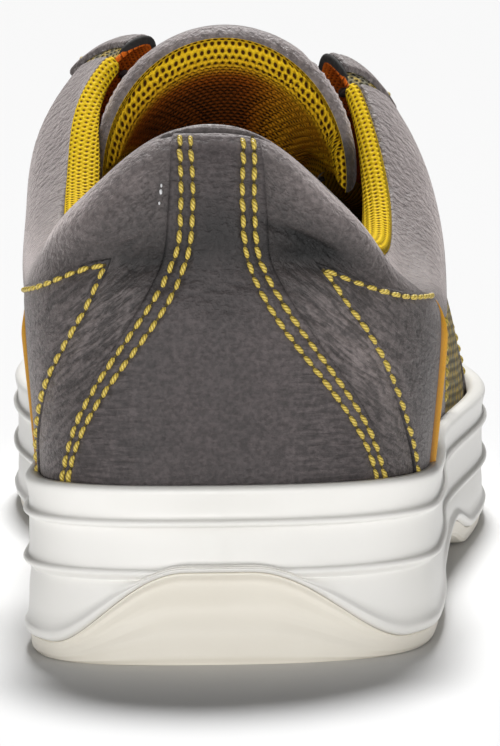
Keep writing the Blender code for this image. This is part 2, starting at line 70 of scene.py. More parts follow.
ribRows = np.array([
    (-155, -9.6, 189.5, 76.2, 2.9, 0.0, 0.0),
    (-132, -14.4, 184.0, 77.8, 2.6, 0.5, 0.0),
    (-115, -17.6, 170.0, 83.5, 2.35, 1.0, 0.0),
    (-103, -18.8, 150.0, 93.5, 2.2, 3.0, 0.0),
    (-94, -19.0, 130.0, 103.5, 2.4, 5.0, 0.0),
    (-87, -19.4, 116.0, 112.2, 3.0, 8.0, 0.0),
    (-81, -26.4, 107.0, 109.8, 3.6, 11.5, 0.0),
    (-75, -33.2, 96.0, 101.0, 4.2, 14.2, 0.0),
    (-67, -35.4, 83.0, 88.8, 4.4, 13.0, 0.0),
    (-58, -35.0, 66.0, 80.3, 4.2, 10.8, 1.0),
    (-48, -33.5, 46.0, 79.0, 4.0, 8.0, 3.0),
    (-35, -30.2, 29.0, 82.8, 3.4, 5.4, 4.0),
    (-20, -22.6, 16.4, 89.8, 2.9, 4.2, 1.5),
    (-10, -14.6, 11.6, 96.3, 2.6, 3.2, 0.0),
    (0, -5.0, 10.5, 98.6, 2.5, 3.0, 0.0),
    (10, 4.4, 12.4, 95.7, 2.6, 3.2, 1.5),
    (20, 12.6, 18.0, 89.2, 2.9, 4.2, 5.5),
    (35, 20.8, 30.5, 79.8, 3.4, 5.2, 9.0),
    (48, 25.4, 46.0, 74.6, 4.0, 6.0, 7.5),
    (58, 27.6, 66.0, 74.8, 4.2, 5.9, 4.0),
    (67, 27.2, 83.0, 82.8, 3.8, 5.8, 1.0),
    (75, 24.9, 96.0, 95.0, 3.0, 3.4, 0.0),
    (81, 21.2, 107.0, 104.5, 2.25, 1.2, 0.0),
    (87, 16.4, 116.0, 108.8, 2.0, 0.5, 0.0),
    (94, 14.6, 130.0, 101.8, 1.92, 0.5, 0.0),
    (103, 12.4, 150.0, 92.2, 1.95, 0.5, 0.0),
    (115, 9.4, 170.0, 82.6, 2.05, 0.5, 0.0),
    (132, 4.8, 184.0, 77.4, 2.35, 0.2, 0.0),
    (155, -0.3, 189.5, 76.0, 2.8, 0.0, 0.0),
    (180, -5.0, 190.6, 75.9, 3.0, 0.0, 0.0),
])


# Natural cubic spline: every span is a cubic, and slope and bend carry on from span to span
def splineThrough(knots, values, at):
    knots = np.asarray(knots, float)
    values = np.asarray(values, float)
    at = np.asarray(at, float)
    last = len(knots) - 2
    step = np.diff(knots)
    rise = np.diff(values) / step
    system = np.diag(np.concatenate([[1], 2 * (step[:-1] + step[1:]), [1]]))
    inner = np.arange(1, last + 1)
    system[inner, inner - 1] = step[:-1]
    system[inner, inner + 1] = step[1:]
    bend = np.linalg.solve(system, np.concatenate([[0], 6 * np.diff(rise), [0]]))
    span = np.clip(np.searchsorted(knots, at) - 1, 0, last)
    past = at - knots[span]
    slope = rise[span] - step[span] * (2 * bend[span] + bend[span + 1]) / 6
    cube = (bend[span + 1] - bend[span]) / (6 * step[span])
    return values[span] + past * (slope + past * (bend[span] / 2 + past * cube))


# Smooth step: 0 below the first value, 1 above the second, three squares less two cubes between
def smoothStep(low, high, value):
    t = np.clip((value - low) / (high - low), 0, 1)
    return t * t * (3 - 2 * t)


# A soft bump: the bell curve of a distance over a width
def bell(distance, width):
    return np.exp(-(distance / width) ** 2)


# A column of a table at a station: a spline through it
def along(table, name, at):
    return splineThrough(table["station"], table[name], at)


# Angle from the back seam, plus for the outer side
def wrapped(degrees):
    return (np.asarray(degrees, float) + 180) % 360 - 180


# Vectors divided by their lengths
def unit(vector):
    return vector / np.linalg.norm(vector, axis=-1, keepdims=True)


# Even angles of a full turn, without its end
def circle(count):
    return np.linspace(0, 2 * math.pi, count, endpoint=False)


# Distance from the first point along the lines of a path or a grid
def runAlong(points, axis=0):
    steps = np.diff(points, axis=axis, prepend=np.take(points, [0], axis))
    return np.cumsum(np.linalg.norm(steps, axis=-1), axis=axis)


# A column of the rib table at any angle: a spline over three turns, so that it closes
def ribValue(name, degrees):
    turn = ribRows[:, 0]
    value = ribRows[:, ribColumns.index(name)]
    knots = np.concatenate([turn - 360, turn, turn + 360])
    return splineThrough(knots, np.tile(value, 3), wrapped(degrees))


# Distance from the heel: half the length times one less the cosine of the angle
def stationAt(degrees):
    return shoe["length"] / 2 * (1 - np.cos(np.radians(degrees)))


# Width share near a rounded end: a quarter superellipse
def endCap(distance, length, power):
    left = np.clip(1 - distance / length, 0, 1)
    return (1 - left ** power) ** (1 / power)


# Plan of the sole: middle line plus or minus the half width, narrowed at both ends, heel turned outward
def outline(degrees):
    y = stationAt(degrees)
    half = along(plan, "halfWidth", y) * endCap(y, shoe["heelCap"], shoe["heelSquare"])
    half = half * endCap(shoe["length"] - y, shoe["toeCap"], shoe["toeSquare"])
    side = np.sign(np.sin(np.radians(degrees))) * half
    turn = math.tan(math.radians(shoe["heelTurn"])) * np.clip(1 - y / shoe["heelTurnLength"], 0, 1) ** 2
    return np.stack([along(plan, "centre", y) + side, y + side * turn], -1)


# Direction out of the outline: its tangent turned a quarter to the right
def outward(degrees):
    run = outline(degrees + 0.06) - outline(degrees - 0.06)
    return unit(np.stack([run[..., 1], -run[..., 0]], -1))


# Loop round the shoe, inset from the outline, at a height
def ringAt(degrees, inset, height):
    flat = outline(degrees) - outward(degrees) * np.broadcast_to(inset, degrees.shape)[..., None]
    return np.concatenate([flat, np.broadcast_to(height, degrees.shape)[..., None]], -1)


denseTurn = np.linspace(0, 180, 3000)
denseRun = runAlong(outline(denseTurn))


# Angles for even steps along the sole's edge, the same on both sides
def evenAngles(count):
    run = denseRun + runAlong(outline(-denseTurn))
    half = np.interp(np.linspace(0, run[-1], count // 2 + 1), run, denseTurn)
    return np.concatenate([half, 360 - half[-2:0:-1]])


# Distance along the sole's edge from the back seam
def edgeRun(degrees):
    return np.interp(np.abs(wrapped(degrees)), denseTurn, denseRun)


# Angle at a distance along the sole's edge from the back seam, plus for the outer side
def turnAt(run):
    return np.sign(run) * np.interp(np.abs(run), denseRun, denseTurn)


# Outward normals of a closed grid: the cross product of the two steps
def gridNormals(points):
    step = np.gradient(points, axis=0)
    step[0] = step[-1] = (points[1] - points[-2]) / 2
    return unit(np.cross(step, np.gradient(points, axis=1)))


# Creases of the leather at the heel, listed: mm to the outer side of the back seam, mm above the
# floor, half length and half width in mm, tilt in degrees, depth in mm where a negative depth is a ridge
mainCreases = np.array([
    (0.0, 73.5, 30, 4.6, 0, 0.7),
    (-12.5, 73.6, 7, 3.6, -4, 1.9),
    (15.0, 74.2, 8, 3.8, 4, 2.2),
    (-27.0, 73.5, 8, 3.8, 2, 0.9),
    (29.0, 71.0, 8, 3.8, -4, 0.9),
    (-11.0, 81.0, 3.2, 7, 0, 0.5),
    (11.5, 82.0, 3.2, 7, 0, 0.7),
    (-21.0, 81.0, 10, 4.5, 12, -0.7),
    (24.0, 79.5, 10, 4.5, -14, -0.7),
    (0.0, 60.0, 18, 12, 0, -0.5),
    (-22.0, 62.0, 5, 9, -28, 0.5),
    (23.0, 61.0, 5, 9, 30, 0.5),
])


# Sum of the creases: each a bell along its length times a bell across it, on its own tilted axes
def pressField(points, creases):
    x = points[..., 0] - shoe["seamX"]
    z = points[..., 2]
    total = np.zeros(x.shape)
    for side, level, length, width, tilt, depth in creases:
        c = math.cos(math.radians(tilt))
        s = math.sin(math.radians(tilt))
        run = (x - side) * c + (z - level) * s
        away = (z - level) * c - (x - side) * s
        total = total - depth * bell(run, length) * bell(away, width)
    return total * (1 - smoothStep(45, 70, points[..., 1]))


# The upper's face on a fine grid: superellipse ribs with a swell, from the foot line to the rim, lowered by a
# slope times a parabola of the way inward, then stepped evenly along each rib. The ribs' lengths are set two
# apart, so that one interpolation does all
def buildSkin(columns=1441, rows=481):
    degrees = np.linspace(-180, 180, columns)
    power, bulge, slope = (ribValue(name, degrees)[:, None] for name in ("fullness", "bulge", "slope"))
    rim = np.stack([ribValue(name, degrees) for name in ("rimX", "rimY", "rimZ")], -1)
    foot = ringAt(degrees, shoe["footInset"], along(levels, "ledge", stationAt(degrees)) + shoe["gap"])
    out = np.concatenate([outward(degrees), np.zeros((columns, 1))], -1)
    turn = np.linspace(0, math.pi / 2, 400)[None]
    reach = (np.cos(turn) ** power + np.sin(turn) ** power) ** (-1 / power)
    height = np.sin(turn) * reach
    inward = 1 - np.cos(turn) * reach
    swell = bulge * height ** shoe["bulgeStart"] * (1 - height ** shoe["bulgeEnd"])
    dense = foot[:, None] + (rim - foot)[:, None] * np.stack([inward, inward, height], -1)
    dense = dense + out[:, None] * swell[..., None]
    dense[..., 2] -= slope * 4 * inward * (1 - inward)
    run = runAlong(dense, 1)
    length = run[:, -1:]
    offset = 2 * np.arange(columns)[:, None]
    known = (run / length + offset).ravel()
    wanted = (np.linspace(0, 1, rows)[None] + offset).ravel()
    axes = [np.interp(wanted, known, dense[..., axis].ravel()) for axis in range(3)]
    points = np.stack(axes, -1).reshape(columns, rows, 3)
    points = points + gridNormals(points) * pressField(points, mainCreases)[..., None]
    return {"points": points, "normal": gridNormals(points), "length": length[:, 0], "degrees": degrees}


skin = buildSkin()
spread = outline(np.linspace(0, 360, 4000))
centreShift = np.append(-(spread.min(axis=0) + spread.max(axis=0)) / 2, 0)
print("last built", skin["points"].shape)


# A value of the skin grid at any angle and share: the four grid points round it, weighted
def skinLook(name, degrees, share):
    grid = skin[name]
    column = (np.asarray(degrees, float) + 180) % 360 / 360 * (grid.shape[0] - 1)
    row = np.clip(share, 0, 1) * (grid.shape[1] - 1)
    column, row = np.broadcast_arrays(column, row)
    c = np.minimum(column.astype(int), grid.shape[0] - 2)
    r = np.minimum(row.astype(int), grid.shape[1] - 2)
    a = (column - c)[..., None]
    b = (row - r)[..., None]
    return ((1 - a) * (1 - b) * grid[c, r] + a * (1 - b) * grid[c + 1, r]
            + (1 - a) * b * grid[c, r + 1] + a * b * grid[c + 1, r + 1])


# Point on the upper's face, lifted along its normal
def skinAt(degrees, share, lift=0.0):
    point = skinLook("points", degrees, share)
    normal = skinLook("normal", degrees, share)
    return point + normal * np.broadcast_to(lift, point.shape[:-1])[..., None]


# Length of the rib at an angle
def ribLength(degrees):
    return np.interp(wrapped(degrees), skin["degrees"], skin["length"])


# Height of the rim above a place on its rib
def belowRim(degrees, share):
    return skinAt(degrees, 1.0)[..., 2] - skinAt(degrees, share)[..., 2]


# Share of the way up a rib that is left when it stops at a distance from the rim
def rimStop(degrees, distance):
    return 1 - distance / ribLength(degrees)


# Quads of a grid, row by row, closed across or along where asked
def gridQuads(rows, columns, closeRows=False, closeColumns=False):
    r = np.arange(rows if closeRows else rows - 1)[:, None]
    c = np.arange(columns if closeColumns else columns - 1)[None]
    here = r * columns
    there = (r + 1) % rows * columns
    after = (c + 1) % columns
    return np.stack([here + c, here + after, there + after, there + c], -1).reshape(-1, 4)


# Cap of a loop with an even count: quads between its two halves
def capQuads(first, count):
    k = np.arange(count // 2 - 1)
    return first + np.stack([k, k + 1, count - 2 - k, count - 1 - k], -1)


# Tube through sections: a grid closed across, with a cap at both ends
def tubeQuads(sections, count):
    ends = [capQuads(0, count)[:, ::-1], capQuads((sections - 1) * count, count)]
    return np.concatenate([gridQuads(sections, count, False, True)] + ends)


# Many copies of one set of quads, each on its own run of points
def repeatQuads(quads, points, copies):
    return (quads[None] + (np.arange(copies) * points)[:, None, None]).reshape(-1, 4)


# Rings of points round a path: cosine times one axis plus sine times the other
def ringsRound(path, one, other, count):
    turn = circle(count)[None, :, None]
    return path[:, None] + (np.cos(turn) * one[:, None] + np.sin(turn) * other[:, None])


# Two coordinates of a grid as its UV map
def gridUv(u, v):
    return np.stack(np.broadcast_arrays(u, v), -1)


# The same values for the face and the underside of a sheet
def both(grid):
    return np.stack([grid, grid])


# Object from points in shoe mm and faces; the normals are made to look outward
def makePiece(name, points, quads, cloths, uv=None, faceSlot=None, values=None, triangles=(), merge=0.0,
              turnOut=True):
    mesh = bpy.data.meshes.new(name)
    place = (points.reshape(-1, 3) + centreShift) * mm
    mesh.from_pydata(place.tolist(), [], quads.tolist() + list(triangles))
    for cloth in cloths:
        mesh.materials.append(made[cloth])
    if faceSlot is not None:
        mesh.polygons.foreach_set("material_index", faceSlot.astype(np.int32))
    corner = np.zeros(len(mesh.loops), np.int32)
    mesh.loops.foreach_get("vertex_index", corner)
    if uv is not None:
        layer = mesh.uv_layers.new(name="surface")
        layer.data.foreach_set("uv", uv.reshape(-1, 2)[corner].astype(np.float32).ravel())
    for key, value in (values or {}).items():
        layer = mesh.attributes.new(key, "FLOAT", "POINT")
        layer.data.foreach_set("value", value.astype(np.float32).ravel())
    form = bmesh.new()
    form.from_mesh(mesh)
    if merge:
        bmesh.ops.remove_doubles(form, verts=form.verts, dist=merge * mm)
    if turnOut:
        bmesh.ops.recalc_face_normals(form, faces=form.faces)
        if form.calc_volume(signed=True) < 0:
            bmesh.ops.reverse_faces(form, faces=form.faces)
    for face in form.faces:
        face.smooth = True
    form.to_mesh(mesh)
    form.free()
    piece = bpy.data.objects.new(name, mesh)
    bpy.context.collection.objects.link(piece)
    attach(piece, "root")
    print(name, len(mesh.polygons), "faces")
    return piece


# Shares from 0 to 1 with a few extra ones close to both ends, for a rounded edge
def edgedShares(count, tight):
    near = np.array([0, 0.12, 0.3, 0.55, 0.85]) * tight
    return np.concatenate([near, np.linspace(tight * 1.3, 1 - tight * 1.3, count), 1 - near[::-1]])


# Distance of every grid point from the grid's border, measured along the grid lines
def borderDistance(points):
    runs = [runAlong(points, axis) for axis in (0, 1)]
    near = [np.minimum(run, run.max(axis=axis, keepdims=True) - run) for axis, run in enumerate(runs)]
    return np.minimum(*near)


# Rounded edge: a quarter circle of this radius, then level
def rounded(distance, radius):
    return np.sqrt(1 - (1 - np.clip(distance / radius, 0, 1)) ** 2)


# Closed sheet between an upper and a lower grid of the same size
def sheetQuads(rows, columns):
    upper = gridQuads(rows, columns)
    lower = upper[:, ::-1] + rows * columns
    top = np.arange(columns)
    right = np.arange(1, rows) * columns + columns - 1
    bottom = (rows - 1) * columns + np.arange(columns - 2, -1, -1)
    left = np.arange(rows - 2, 0, -1) * columns
    loop = np.concatenate([top, right, bottom, left])
    after = np.roll(loop, -1)
    wall = np.stack([loop, loop + rows * columns, after + rows * columns, after], -1)
    return np.concatenate([upper, lower, wall])


# Leather panel on the upper: its underside follows the skin at a lift, its face rises in a rounded edge, with
# a groove along the seam and the creases added. Its tone falls at the cut edge; painted shade darkens the
# crease troughs and a painted highlight lightens their ridges, and the painted shade and highlights of the
# heel and the collar are added
panel = {"seamWidth": 0.6, "creaseFade": 1.5, "edgeTone": 0.45, "edgeWidth": 0.45, "creaseShade": 0.35}


def leatherPanel(name, degrees, share, sheet, relief=None, addedShade=0.0, leather="greyLeather"):
    under = skinAt(degrees, share, sheet["lift"])
    edge = borderDistance(under)
    creases = creaseField(degrees, share)
    rise = sheet["thick"] * rounded(edge, sheet["round"])
    if sheet.get("seam"):
        rise = rise - sheet["groove"] * bell(edge - sheet["seam"], panel["seamWidth"])
    face = sheet["lift"] + rise + rounded(edge, panel["creaseFade"]) * (creases if relief is None else relief)
    points = np.stack([skinAt(degrees, share, face), under])
    tone = pressField(under, paintedShadeAndHighlights) + collarPaintedHighlight(degrees, share) + addedShade
    tone = tone - panel["edgeTone"] * bell(edge, panel["edgeWidth"]) + panel["creaseShade"] * creases
    values = {"tone": both(tone), "drawn": both(drawnShare(degrees, share))}
    makePiece(name, points, sheetQuads(*degrees.shape), [leather], values=values)


# Where the grain is drawn out into wrinkles: the quarters between the collar and the sole
def drawnShare(degrees, share):
    away = np.abs(wrapped(degrees))
    return (1 - smoothStep(0.6, 0.7, share)) * smoothStep(3, 8, away) * (1 - smoothStep(36, 46, away))


# Painted shade and painted highlights of the heel leather, laid out in the same way as the creases: a share
# taken from its brightness as painted shade, or added as a painted highlight
paintedShadeAndHighlights = np.array([
    (-12.5, 74.3, 9.0, 4.4, 6, 0.80),
    (17.0, 75.5, 11.0, 5.5, -6, 1.10),
    (0.0, 80.0, 8.0, 7.0, 0, 0.60),
    (-27.0, 81.0, 9.0, 3.4, 38, -1.70),
    (-14.5, 88.5, 7.0, 2.6, 42, -0.80),
    (31.0, 78.0, 9.0, 4.2, -32, -1.90),
    (17.5, 87.0, 9.0, 3.4, -45, -1.40),
    (25.0, 57.0, 15.0, 7.0, -52, -0.70),
    (-24.0, 58.0, 12.0, 4.5, 50, -0.25),
    (39.0, 48.0, 6.0, 22.0, 0, 0.70),
])


# Painted highlight on the collar: paler along its edge, by height below it, and down its sides, by share and
# angle
collarHighlight = {"edge": 1.2, "side": 1.0, "reach": 6.0, "sideReach": 6.5}


def collarPaintedHighlight(degrees, share):
    away = np.abs(wrapped(degrees))
    reach = collarHighlight["reach"] + collarHighlight["sideReach"] * smoothStep(8, 26, away)
    edge = 1 - smoothStep(0.2, 1.0, belowRim(degrees, share) / reach)
    edge = edge * (0.5 + 0.5 * smoothStep(9, 24, away)) * (1 - smoothStep(46, 60, away))
    side = smoothStep(30, 46, away) * (1 - smoothStep(84, 100, away)) * smoothStep(0.62, 0.76, share)
    return collarHighlight["edge"] * edge + collarHighlight["side"] * side


# Fine wrinkles of the face leather, in the same way
fineCreases = np.array([
    (14.0, 79.0, 5.5, 1.0, -22, 0.51),
    (17.0, 77.5, 5.0, 0.9, -26, 0.44),
    (11.5, 80.5, 4.0, 0.8, -16, 0.34),
    (20.0, 76.0, 4.5, 0.9, -30, 0.37),
    (-14.0, 78.0, 5.0, 1.0, 20, 0.41),
    (-18.0, 80.0, 4.5, 0.9, 26, 0.31),
    (-9.5, 70.0, 5.0, 0.9, 6, 0.44),
    (-13.5, 68.0, 5.5, 0.9, 14, 0.48),
    (-16.0, 65.5, 5.0, 0.9, 22, 0.41),
    (-19.0, 62.0, 5.0, 0.9, 30, 0.37),
    (-21.5, 58.0, 5.0, 0.9, 36, 0.34),
    (-24.0, 53.5, 5.0, 0.9, 42, 0.31),
    (-27.0, 48.5, 5.0, 0.9, 46, 0.27),
    (15.5, 68.5, 5.0, 0.8, -14, 0.51),
    (18.0, 66.2, 5.5, 0.8, -22, 0.58),
    (17.5, 63.8, 5.5, 0.8, -28, 0.54),
    (20.5, 61.6, 6.0, 0.8, -28, 0.61),
    (20.0, 59.0, 6.0, 0.8, -32, 0.58),
    (22.5, 56.6, 6.0, 0.8, -36, 0.58),
    (23.5, 53.8, 6.0, 0.8, -38, 0.54),
    (25.5, 51.0, 6.0, 0.8, -42, 0.51),
    (26.5, 48.0, 6.0, 0.8, -46, 0.48),
    (28.0, 45.0, 5.5, 0.8, -50, 0.44),
    (29.5, 42.0, 5.0, 0.8, -56, 0.37),
    (3.0, 69.5, 6.0, 1.0, 4, 0.34),
    (-2.5, 67.6, 6.0, 1.0, -5, 0.31),
    (1.5, 65.6, 7.0, 1.0, 2, 0.24),
    (-28.0, 66.0, 5.0, 1.0, 40, 0.27),
    (33.0, 63.0, 5.0, 1.0, -44, 0.34),
    (31.0, 58.0, 5.0, 1.0, -50, 0.31),
])


def creaseField(degrees, share):
    return pressField(skinAt(degrees, share), fineCreases)


# Millimetres of the skin to a degree round it
def mmPerDegree(degrees, share):
    return np.linalg.norm(skinAt(degrees + 0.1, share) - skinAt(degrees - 0.1, share), axis=-1) / 0.2


# Inputs of a node: sockets are linked, other values are set
def setInputs(tree, node, inputs):
    for key, value in inputs.items():
        if isinstance(value, bpy.types.NodeSocket):
            tree.links.new(value, node.inputs[key])
        else:
            node.inputs[key].default_value = value


# A node with its settings and inputs; its outputs come back
def addNode(tree, kind, inputs=None, **settings):
    node = tree.nodes.new("ShaderNode" + kind)
    for key, value in settings.items():
        setattr(node, key, value)
    setInputs(tree, node, inputs or {})
    return node.outputs


# Material whose shader takes the inputs that its maker gives back
def newMaterial(name, maker, look):
    material = bpy.data.materials.new(name)
    material.use_nodes = True
    tree = material.node_tree
    setInputs(tree, tree.nodes["Principled BSDF"], maker(tree, look))
    return material


def mathNode(tree, operation, a, b=0.0):
    return addNode(tree, "Math", {0: a, 1: b}, operation=operation)[0]


def plus(tree, a, b):
    return mathNode(tree, "ADD", a, b)


def times(tree, a, b):
    return mathNode(tree, "MULTIPLY", a, b)


def scaled(tree, shade, amount):
    return addNode(tree, "VectorMath", {0: shade, "Scale": amount}, operation="SCALE")[0]


def mixColour(tree, share, a, b):
    return addNode(tree, "Mix", {0: share, 6: a, 7: b}, data_type="RGBA")[2]


def colour(rgb):
    return (*rgb, 1.0)


def twoTone(tree, look, share):
    return mixColour(tree, share, colour(look["dark"]), colour(look["light"]))


# A value taken from one range to another, held at the ends
def mapRange(tree, value, low, high, toLow, toHigh):
    return addNode(tree, "MapRange", {0: value, 1: low, 2: high, 3: toLow, 4: toHigh})[0]


def noise(tree, place, scale, detail, roughness=0.5, distortion=0.0):
    inputs = {"Vector": place, "Scale": scale, "Detail": detail}
    return addNode(tree, "TexNoise", {**inputs, "Roughness": roughness, "Distortion": distortion})[0]


def attribute(tree, name):
    return addNode(tree, "Attribute", attribute_name=name)["Fac"]


def bumpNode(tree, height, strength, distance, before=None):
    inputs = {"Strength": strength, "Distance": distance, "Height": height}
    if before is not None:
        inputs["Normal"] = before
    return addNode(tree, "Bump", inputs)[0]


# Grey nubuck: fine nap and grain as bumps, wrinkles drawn out along a slant mirrored at the back seam,
# blotches of lighter and darker grey, depth of colour and sheen from the mesh's tone, which carries painted
# shade and painted highlights
def leatherMaterial(tree, look):
    place = addNode(tree, "TexCoord")["Object"]
    blotch = noise(tree, place, 80.0, 5.0, 0.6)
    nap = noise(tree, place, 1100.0, 5.0, 0.6)
    parts = addNode(tree, "SeparateXYZ", {0: place})
    side = mathNode(tree, "ABSOLUTE", plus(tree, parts[0], -shoe["seamX"] * mm))
    turned = addNode(tree, "CombineXYZ", {0: side, 1: parts[1], 2: parts[2]})[0]
    spin = (0.0, math.radians(look["slant"]), 0.0)
    spun = addNode(tree, "Mapping", {"Vector": turned, "Rotation": spin})[0]
    forms = []
    for scale in ((620.0, 760.0, 1150.0), (230.0, 420.0, 1350.0)):
        stretched = addNode(tree, "Mapping", {"Vector": spun, "Scale": scale})[0]
        forms.append(noise(tree, stretched, 1.0, 3.0, 0.55, 0.3))
    grain, pulled = forms
    drawn = attribute(tree, "drawn")
    wrinkle = plus(tree, grain, times(tree, drawn, mathNode(tree, "SUBTRACT", pulled, grain)))
    shade = twoTone(tree, look, mapRange(tree, blotch, 0.3, 0.7, 0.0, 1.0))
    fleck = mapRange(tree, nap, 0.40, 0.60, 0.74, 1.26)
    amount = plus(tree, times(tree, drawn, 0.95 * look["wrinkle"]), 0.1)
    swing = mapRange(tree, wrinkle, 0.42, 0.58, -1.0, 1.0)
    line = plus(tree, times(tree, swing, amount), 1.0)
    tone = attribute(tree, "tone")
    normal = bumpNode(tree, wrinkle, min(look["wrinkle"] * 2.6, 1.0), 0.0007)
    return {
        "Base Color": scaled(tree, shade, times(tree, times(tree, fleck, line), plus(tree, tone, 1.0))),
        "Roughness": mapRange(tree, blotch, 0.3, 0.7, look["rough"] - 0.06, look["rough"] + 0.08),
        "Normal": bumpNode(tree, nap, 0.8, 0.0004, normal),
        "Sheen Weight": mapRange(tree, tone, -1.0, 1.5, 0.1 * look["sheen"], 1.2 * look["sheen"]),
        "Sheen Tint": (1.0, 0.9, 0.88, 1.0),
        "Sheen Roughness": 0.5,
        "Specular IOR Level": 0.4,
    }


# Distance from the nearest hole: rows of round holes, every other row set over by half a pitch, in mm
def holeNodes(tree, uv, pitch):
    parts = addNode(tree, "SeparateXYZ", {0: uv})
    rowPlace = mathNode(tree, "DIVIDE", parts[1], pitch[1])
    shift = times(tree, mathNode(tree, "FLOORED_MODULO", mathNode(tree, "FLOOR", rowPlace), 2.0), 0.5)
    x = plus(tree, mathNode(tree, "DIVIDE", parts[0], pitch[0]), shift)
    dx, dy = (mathNode(tree, "SUBTRACT", mathNode(tree, "FRACT", value), 0.5) for value in (x, rowPlace))
    return mathNode(tree, "SQRT", plus(tree, times(tree, dx, dx), times(tree, dy, dy)))


# Spacer mesh: yarn between dark holes, mottled by a second colour, or turned toward a painted shade colour by
# the mesh's shade attribute and darkened further by painted shade in its tone
def meshMaterial(tree, look):
    place = addNode(tree, "TexCoord")
    away = holeNodes(tree, place["UV"], look["pitch"])
    fibre = noise(tree, place["Object"], 2200.0, 4.0, 0.7)
    blotch = noise(tree, place["Object"], look.get("mottle", 60.0), 3.0)
    yarn = twoTone(tree, look, mapRange(tree, fibre, 0.3, 0.7, 0.0, 1.0))
    if "other" in look:
        yarn = mixColour(tree, mapRange(tree, blotch, 0.44, 0.62, 0.0, 0.8), yarn, colour(look["other"]))
    if "paintedShadeColour" in look:
        yarn = mixColour(tree, attribute(tree, "shade"), yarn, colour(look["paintedShadeColour"]))
    thread = mapRange(tree, away, look["hole"], look["hole"] + 0.14, 0.0, 1.0)
    final = mixColour(tree, thread, colour(look["gap"]), yarn)
    dome = mapRange(tree, away, look["hole"] - 0.06, 0.52, 0.0, 1.0)
    return {
        "Base Color": scaled(tree, final, plus(tree, attribute(tree, "tone"), 1.0)),
        "Roughness": mapRange(tree, blotch, 0.3, 0.7, 0.7, 0.85),
        "Normal": bumpNode(tree, fibre, 0.4, 0.00012, bumpNode(tree, dome, look["bump"], 0.0006)),
        "Specular IOR Level": 0.1,
    }


# Moulded sole foam and tread rubber: fine mould texture, slow change of tone
def soleMaterial(tree, look):
    place = addNode(tree, "TexCoord")["Object"]
    cloud = noise(tree, place, 28.0, 3.0)
    return {
        "Base Color": twoTone(tree, look, mapRange(tree, cloud, 0.35, 0.65, 0.0, 1.0)),
        "Roughness": mapRange(tree, cloud, 0.35, 0.65, look["rough"] - 0.05, look["rough"] + 0.05),
        "Normal": bumpNode(tree, noise(tree, place, 1400.0, 3.0), 0.12, 0.00012),
        "Specular IOR Level": 0.4,
    }


# Twisted thread and woven lace: slanted ribs along the UV map's second axis; with a long pitch, as for the
# piping, the colour runs round the cord instead as painted shade on one side
def cordMaterial(tree, look):
    place = addNode(tree, "TexCoord")
    parts = addNode(tree, "SeparateXYZ", {0: place["UV"]})
    length = mathNode(tree, "DIVIDE", parts[1], look["pitch"])
    slant = plus(tree, times(tree, parts[0], look["turns"]), length)
    wave = mathNode(tree, "ABSOLUTE", mathNode(tree, "SINE", times(tree, slant, math.pi)))
    fibre = mapRange(tree, noise(tree, place["Object"], 3000.0, 3.0), 0.3, 0.7, 0.75, 1.0)
    return {
        "Base Color": twoTone(tree, look, times(tree, wave, fibre)),
        "Roughness": look["rough"],
        "Normal": bumpNode(tree, wave, 0.6, look["depth"]),
    }


# Flat finish with fine noise, for cut edges, needle holes, felt and lint
def edgeMaterial(tree, look):
    fine = noise(tree, addNode(tree, "TexCoord")["Object"], 1200.0, 4.0)
    return {
        "Base Color": twoTone(tree, look, mapRange(tree, fine, 0.3, 0.7, 0.0, 1.0)),
        "Roughness": look["rough"],
        "Normal": bumpNode(tree, fine, 0.4, 0.0002),
    }


